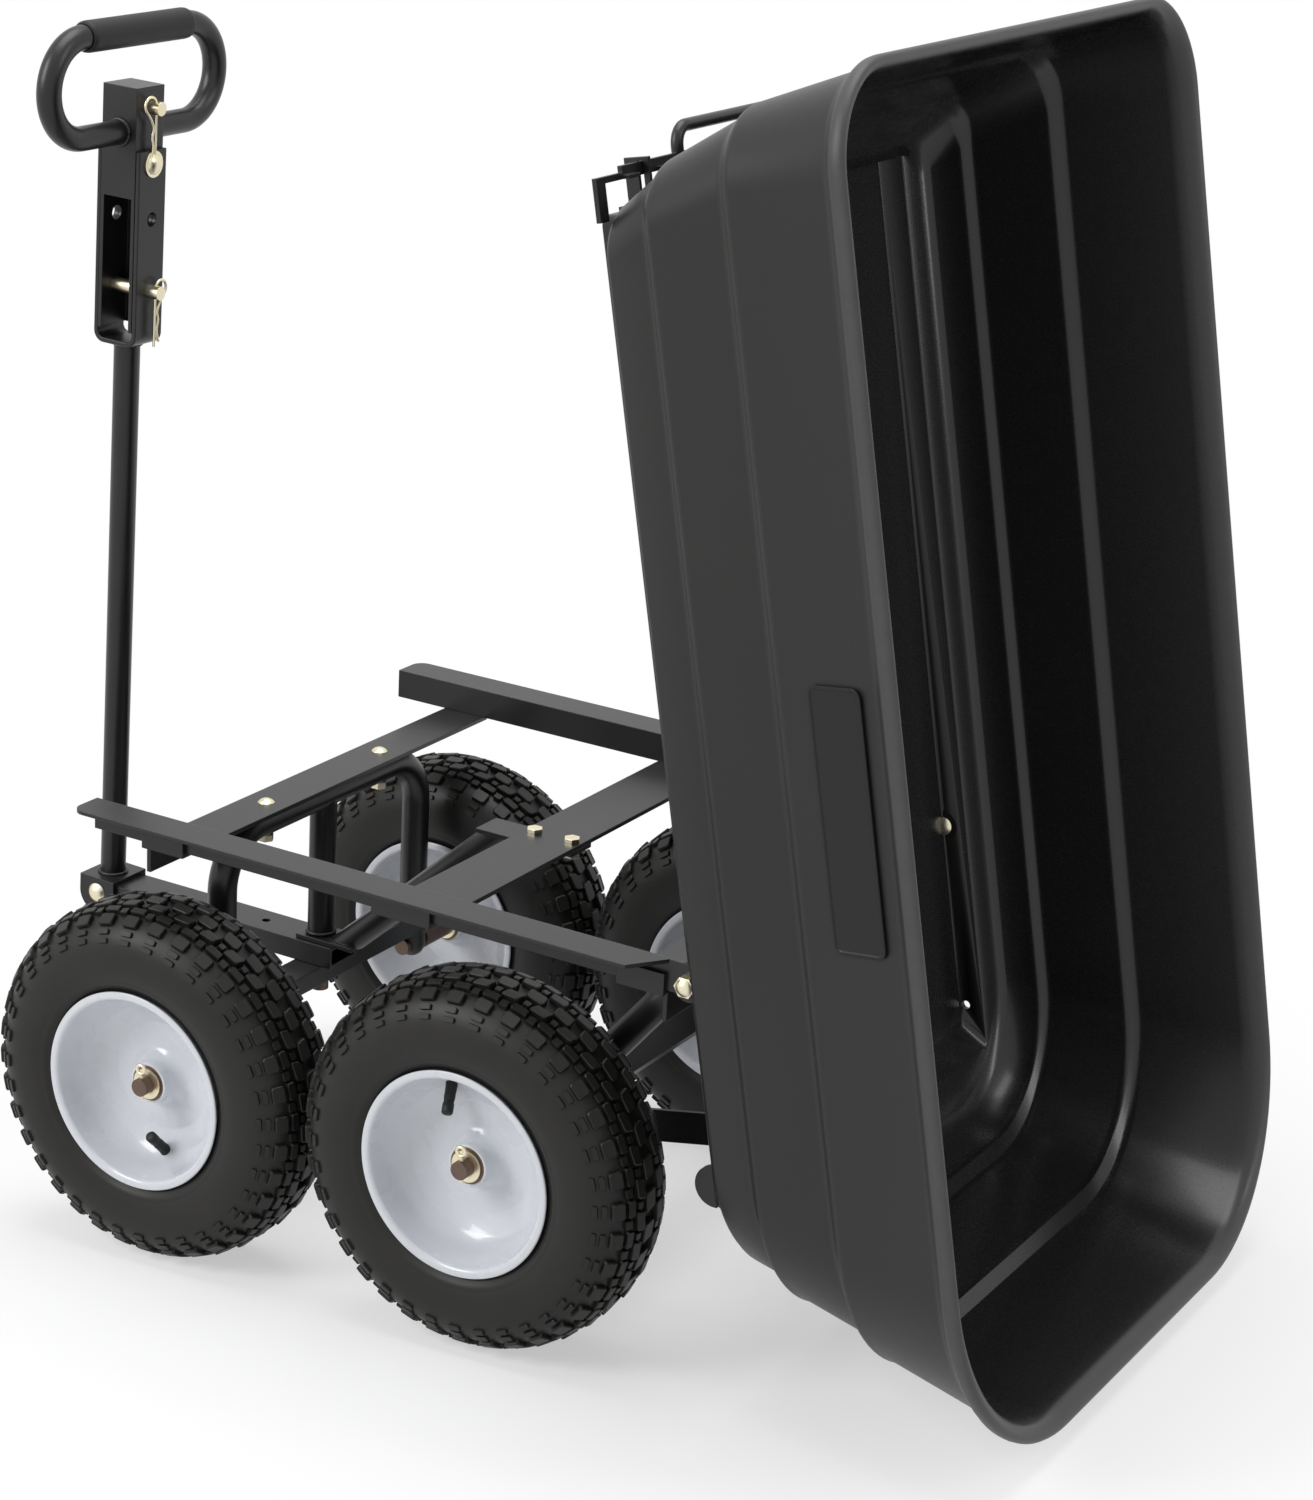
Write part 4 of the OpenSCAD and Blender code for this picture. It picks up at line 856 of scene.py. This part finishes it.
# Name plate: a bare, thin plate of black plastic with a raised edge, stuck to the near wall.
# The maker's words are left off, so its field is plain with a light grain.
def plate_mesh(place=-0.1605, height=0.1965, half_long=0.1025, half_tall=0.0248, corner=0.008, gap=0.0008):
    """A plate with round corners that lies along the slope of the wall's upper band."""
    slope_in = Vector((0, -(SIDE + SIDE_SPREAD * 0.60), BASE + 0.62 * DEPTH))
    slope_out = Vector((0, -(SIDE + SIDE_SPREAD * 0.80), BASE + 0.855 * DEPTH))
    up = (slope_out - slope_in).normalized()
    out = Vector((0, -up.z, up.y))
    middle = slope_in + up * ((height - slope_in.z) / up.z)
    shape = bmesh.new()
    rows = []
    for shrink, lift in ((0, -0.0006), (0, 0.0016), (0.0006, 0.0022), (0.0022, 0.0022), (0.0032, 0.0015)):
        half_u, half_w, r = half_long - shrink, half_tall - shrink, corner - shrink
        row = []
        for u, w, start in ((half_u - r, half_w - r, 0), (r - half_u, half_w - r, 90),
                            (r - half_u, r - half_w, 180), (half_u - r, r - half_w, 270)):
            for k in range(9):
                a = math.radians(start + 90 * k / 8)
                spot = middle + up * (w + r * math.sin(a)) + out * (lift + gap)
                row.append(shape.verts.new(from_tub(place + u + r * math.cos(a), spot.y, spot.z)))
        rows.append(row)
    loft(shape, rows, smooth=False)
    return mesh_of(shape, "name_plate_bare")


def plate_black():
    made = Finish("plate_black", Specular_IOR_Level=0.25)
    grain = made.noise(320.0, 4.0, 0.7)
    made.feed(Base_Color=made.blend(grain, (0.008, 0.008, 0.008, 1), (0.014, 0.014, 0.014, 1)),
              Roughness=0.30 + grain * 0.12,
              Normal=made.bump(grain, 0.05, 0.0004))
    return made.material


plate = show("name_plate_bare", plate_mesh())
plate.data.materials.append(plate_black())
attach(plate, "tub")


# Feet under the tub and the latch at its handle end.
# Folded and bent steel, coated like the frame.
dress(coat, "tub_feet", "latch_guides", "latch_slide")


# The stage: a pale floor that keeps the shadow and fades into a white surround,
# and large soft lamps above, to the left and to the right.
def seen_rays(tree):
    """1 for the rays that show the surround itself: from the camera, in reflections and through glass."""
    rays = tree.nodes.new("ShaderNodeLightPath")
    camera, glossy, clear = (Tone(tree, rays.outputs["Is " + kind + " Ray"])
                             for kind in ("Camera", "Glossy", "Transmission"))
    return camera.sum("MAXIMUM", glossy).sum("MAXIMUM", clear)


def pale_floor():
    made = Finish("pale_floor", Roughness=0.9, Specular_IOR_Level=0.1)
    shade = made.noise(0.8, 2.0)
    made.feed(Base_Color=made.blend(shade, (0.90, 0.90, 0.90, 1), (0.93, 0.93, 0.93, 1)))
    away = made.node("ShaderNodeVectorMath", {"operation": "LENGTH"}, {0: made.place()}, "Value")
    fade = made.node("ShaderNodeMapRange", {"interpolation_type": "SMOOTHSTEP"},
                     {"Value": away, "From Min": 0.30, "From Max": 1.05, "To Min": 0.50, "To Max": 1.0})
    white = made.tree.nodes.new("ShaderNodeEmission")
    mixed = made.tree.nodes.new("ShaderNodeMixShader")
    made.tree.links.new((fade * seen_rays(made.tree)).socket, mixed.inputs[0])
    made.tree.links.new(made.shader.outputs[0], mixed.inputs[1])
    made.tree.links.new(white.outputs[0], mixed.inputs[2])
    made.tree.links.new(mixed.outputs[0], made.tree.nodes["Material Output"].inputs["Surface"])
    return made.material


reach = 30
floor_mesh = bpy.data.meshes.new("floor")
floor_mesh.from_pydata([(-reach, -reach, 0), (reach, -reach, 0), (reach, reach, 0), (-reach, reach, 0)],
                       [], [(0, 1, 2, 3)])
floor = show("floor", floor_mesh)
floor.data.materials.append(pale_floor())

world = bpy.data.worlds.new("surround")
bpy.context.scene.world = world
world.use_nodes = True
sky = world.node_tree.nodes["Background"]
sky.inputs["Color"].default_value = (1, 1, 1, 1)
world.node_tree.links.new((0.30 + seen_rays(world.node_tree) * 0.70).socket, sky.inputs["Strength"])


def lamp(name, place, aim, size, power):
    data = bpy.data.lights.new(name, "AREA")
    data.shape = "RECTANGLE"
    data.size, data.size_y = size
    data.energy = power
    made = bpy.data.objects.new(name, data)
    bpy.context.scene.collection.objects.link(made)
    made.location = place
    made.rotation_euler = (Vector(aim) - Vector(place)).to_track_quat("-Z", "Y").to_euler()


lamp("key", (-2.2, -3.0, 2.8), (0.1, 0, 0.4), (1.8, 2.4), 110)
lamp("top", (0.0, 0.3, 4.0), (0.0, 0, 0.3), (2.6, 2.6), 90)
lamp("right", (3.2, 0.6, 1.9), (0.3, 0, 0.5), (0.7, 2.4), 26)

eye = bpy.data.cameras.new("eye")
eye.lens = 83.35
eye.sensor_width = 36.0
eye.sensor_fit = "AUTO"
eye.shift_x = 0.01015
eye.shift_y = -0.00822
eye.clip_end = 100.0
watch = bpy.data.objects.new("eye", eye)
bpy.context.scene.collection.objects.link(watch)
spot = Vector((1.6415 + MIDDLE, -2.4267, 1.3603))
aim = Vector((0.1593 + MIDDLE, 0.0381, 0.45395))
watch.matrix_world = Matrix.Translation(spot) @ (aim - spot).to_track_quat("-Z", "Y").to_matrix().to_4x4()
bpy.context.scene.camera = watch
bpy.context.scene.view_settings.view_transform = "Standard"
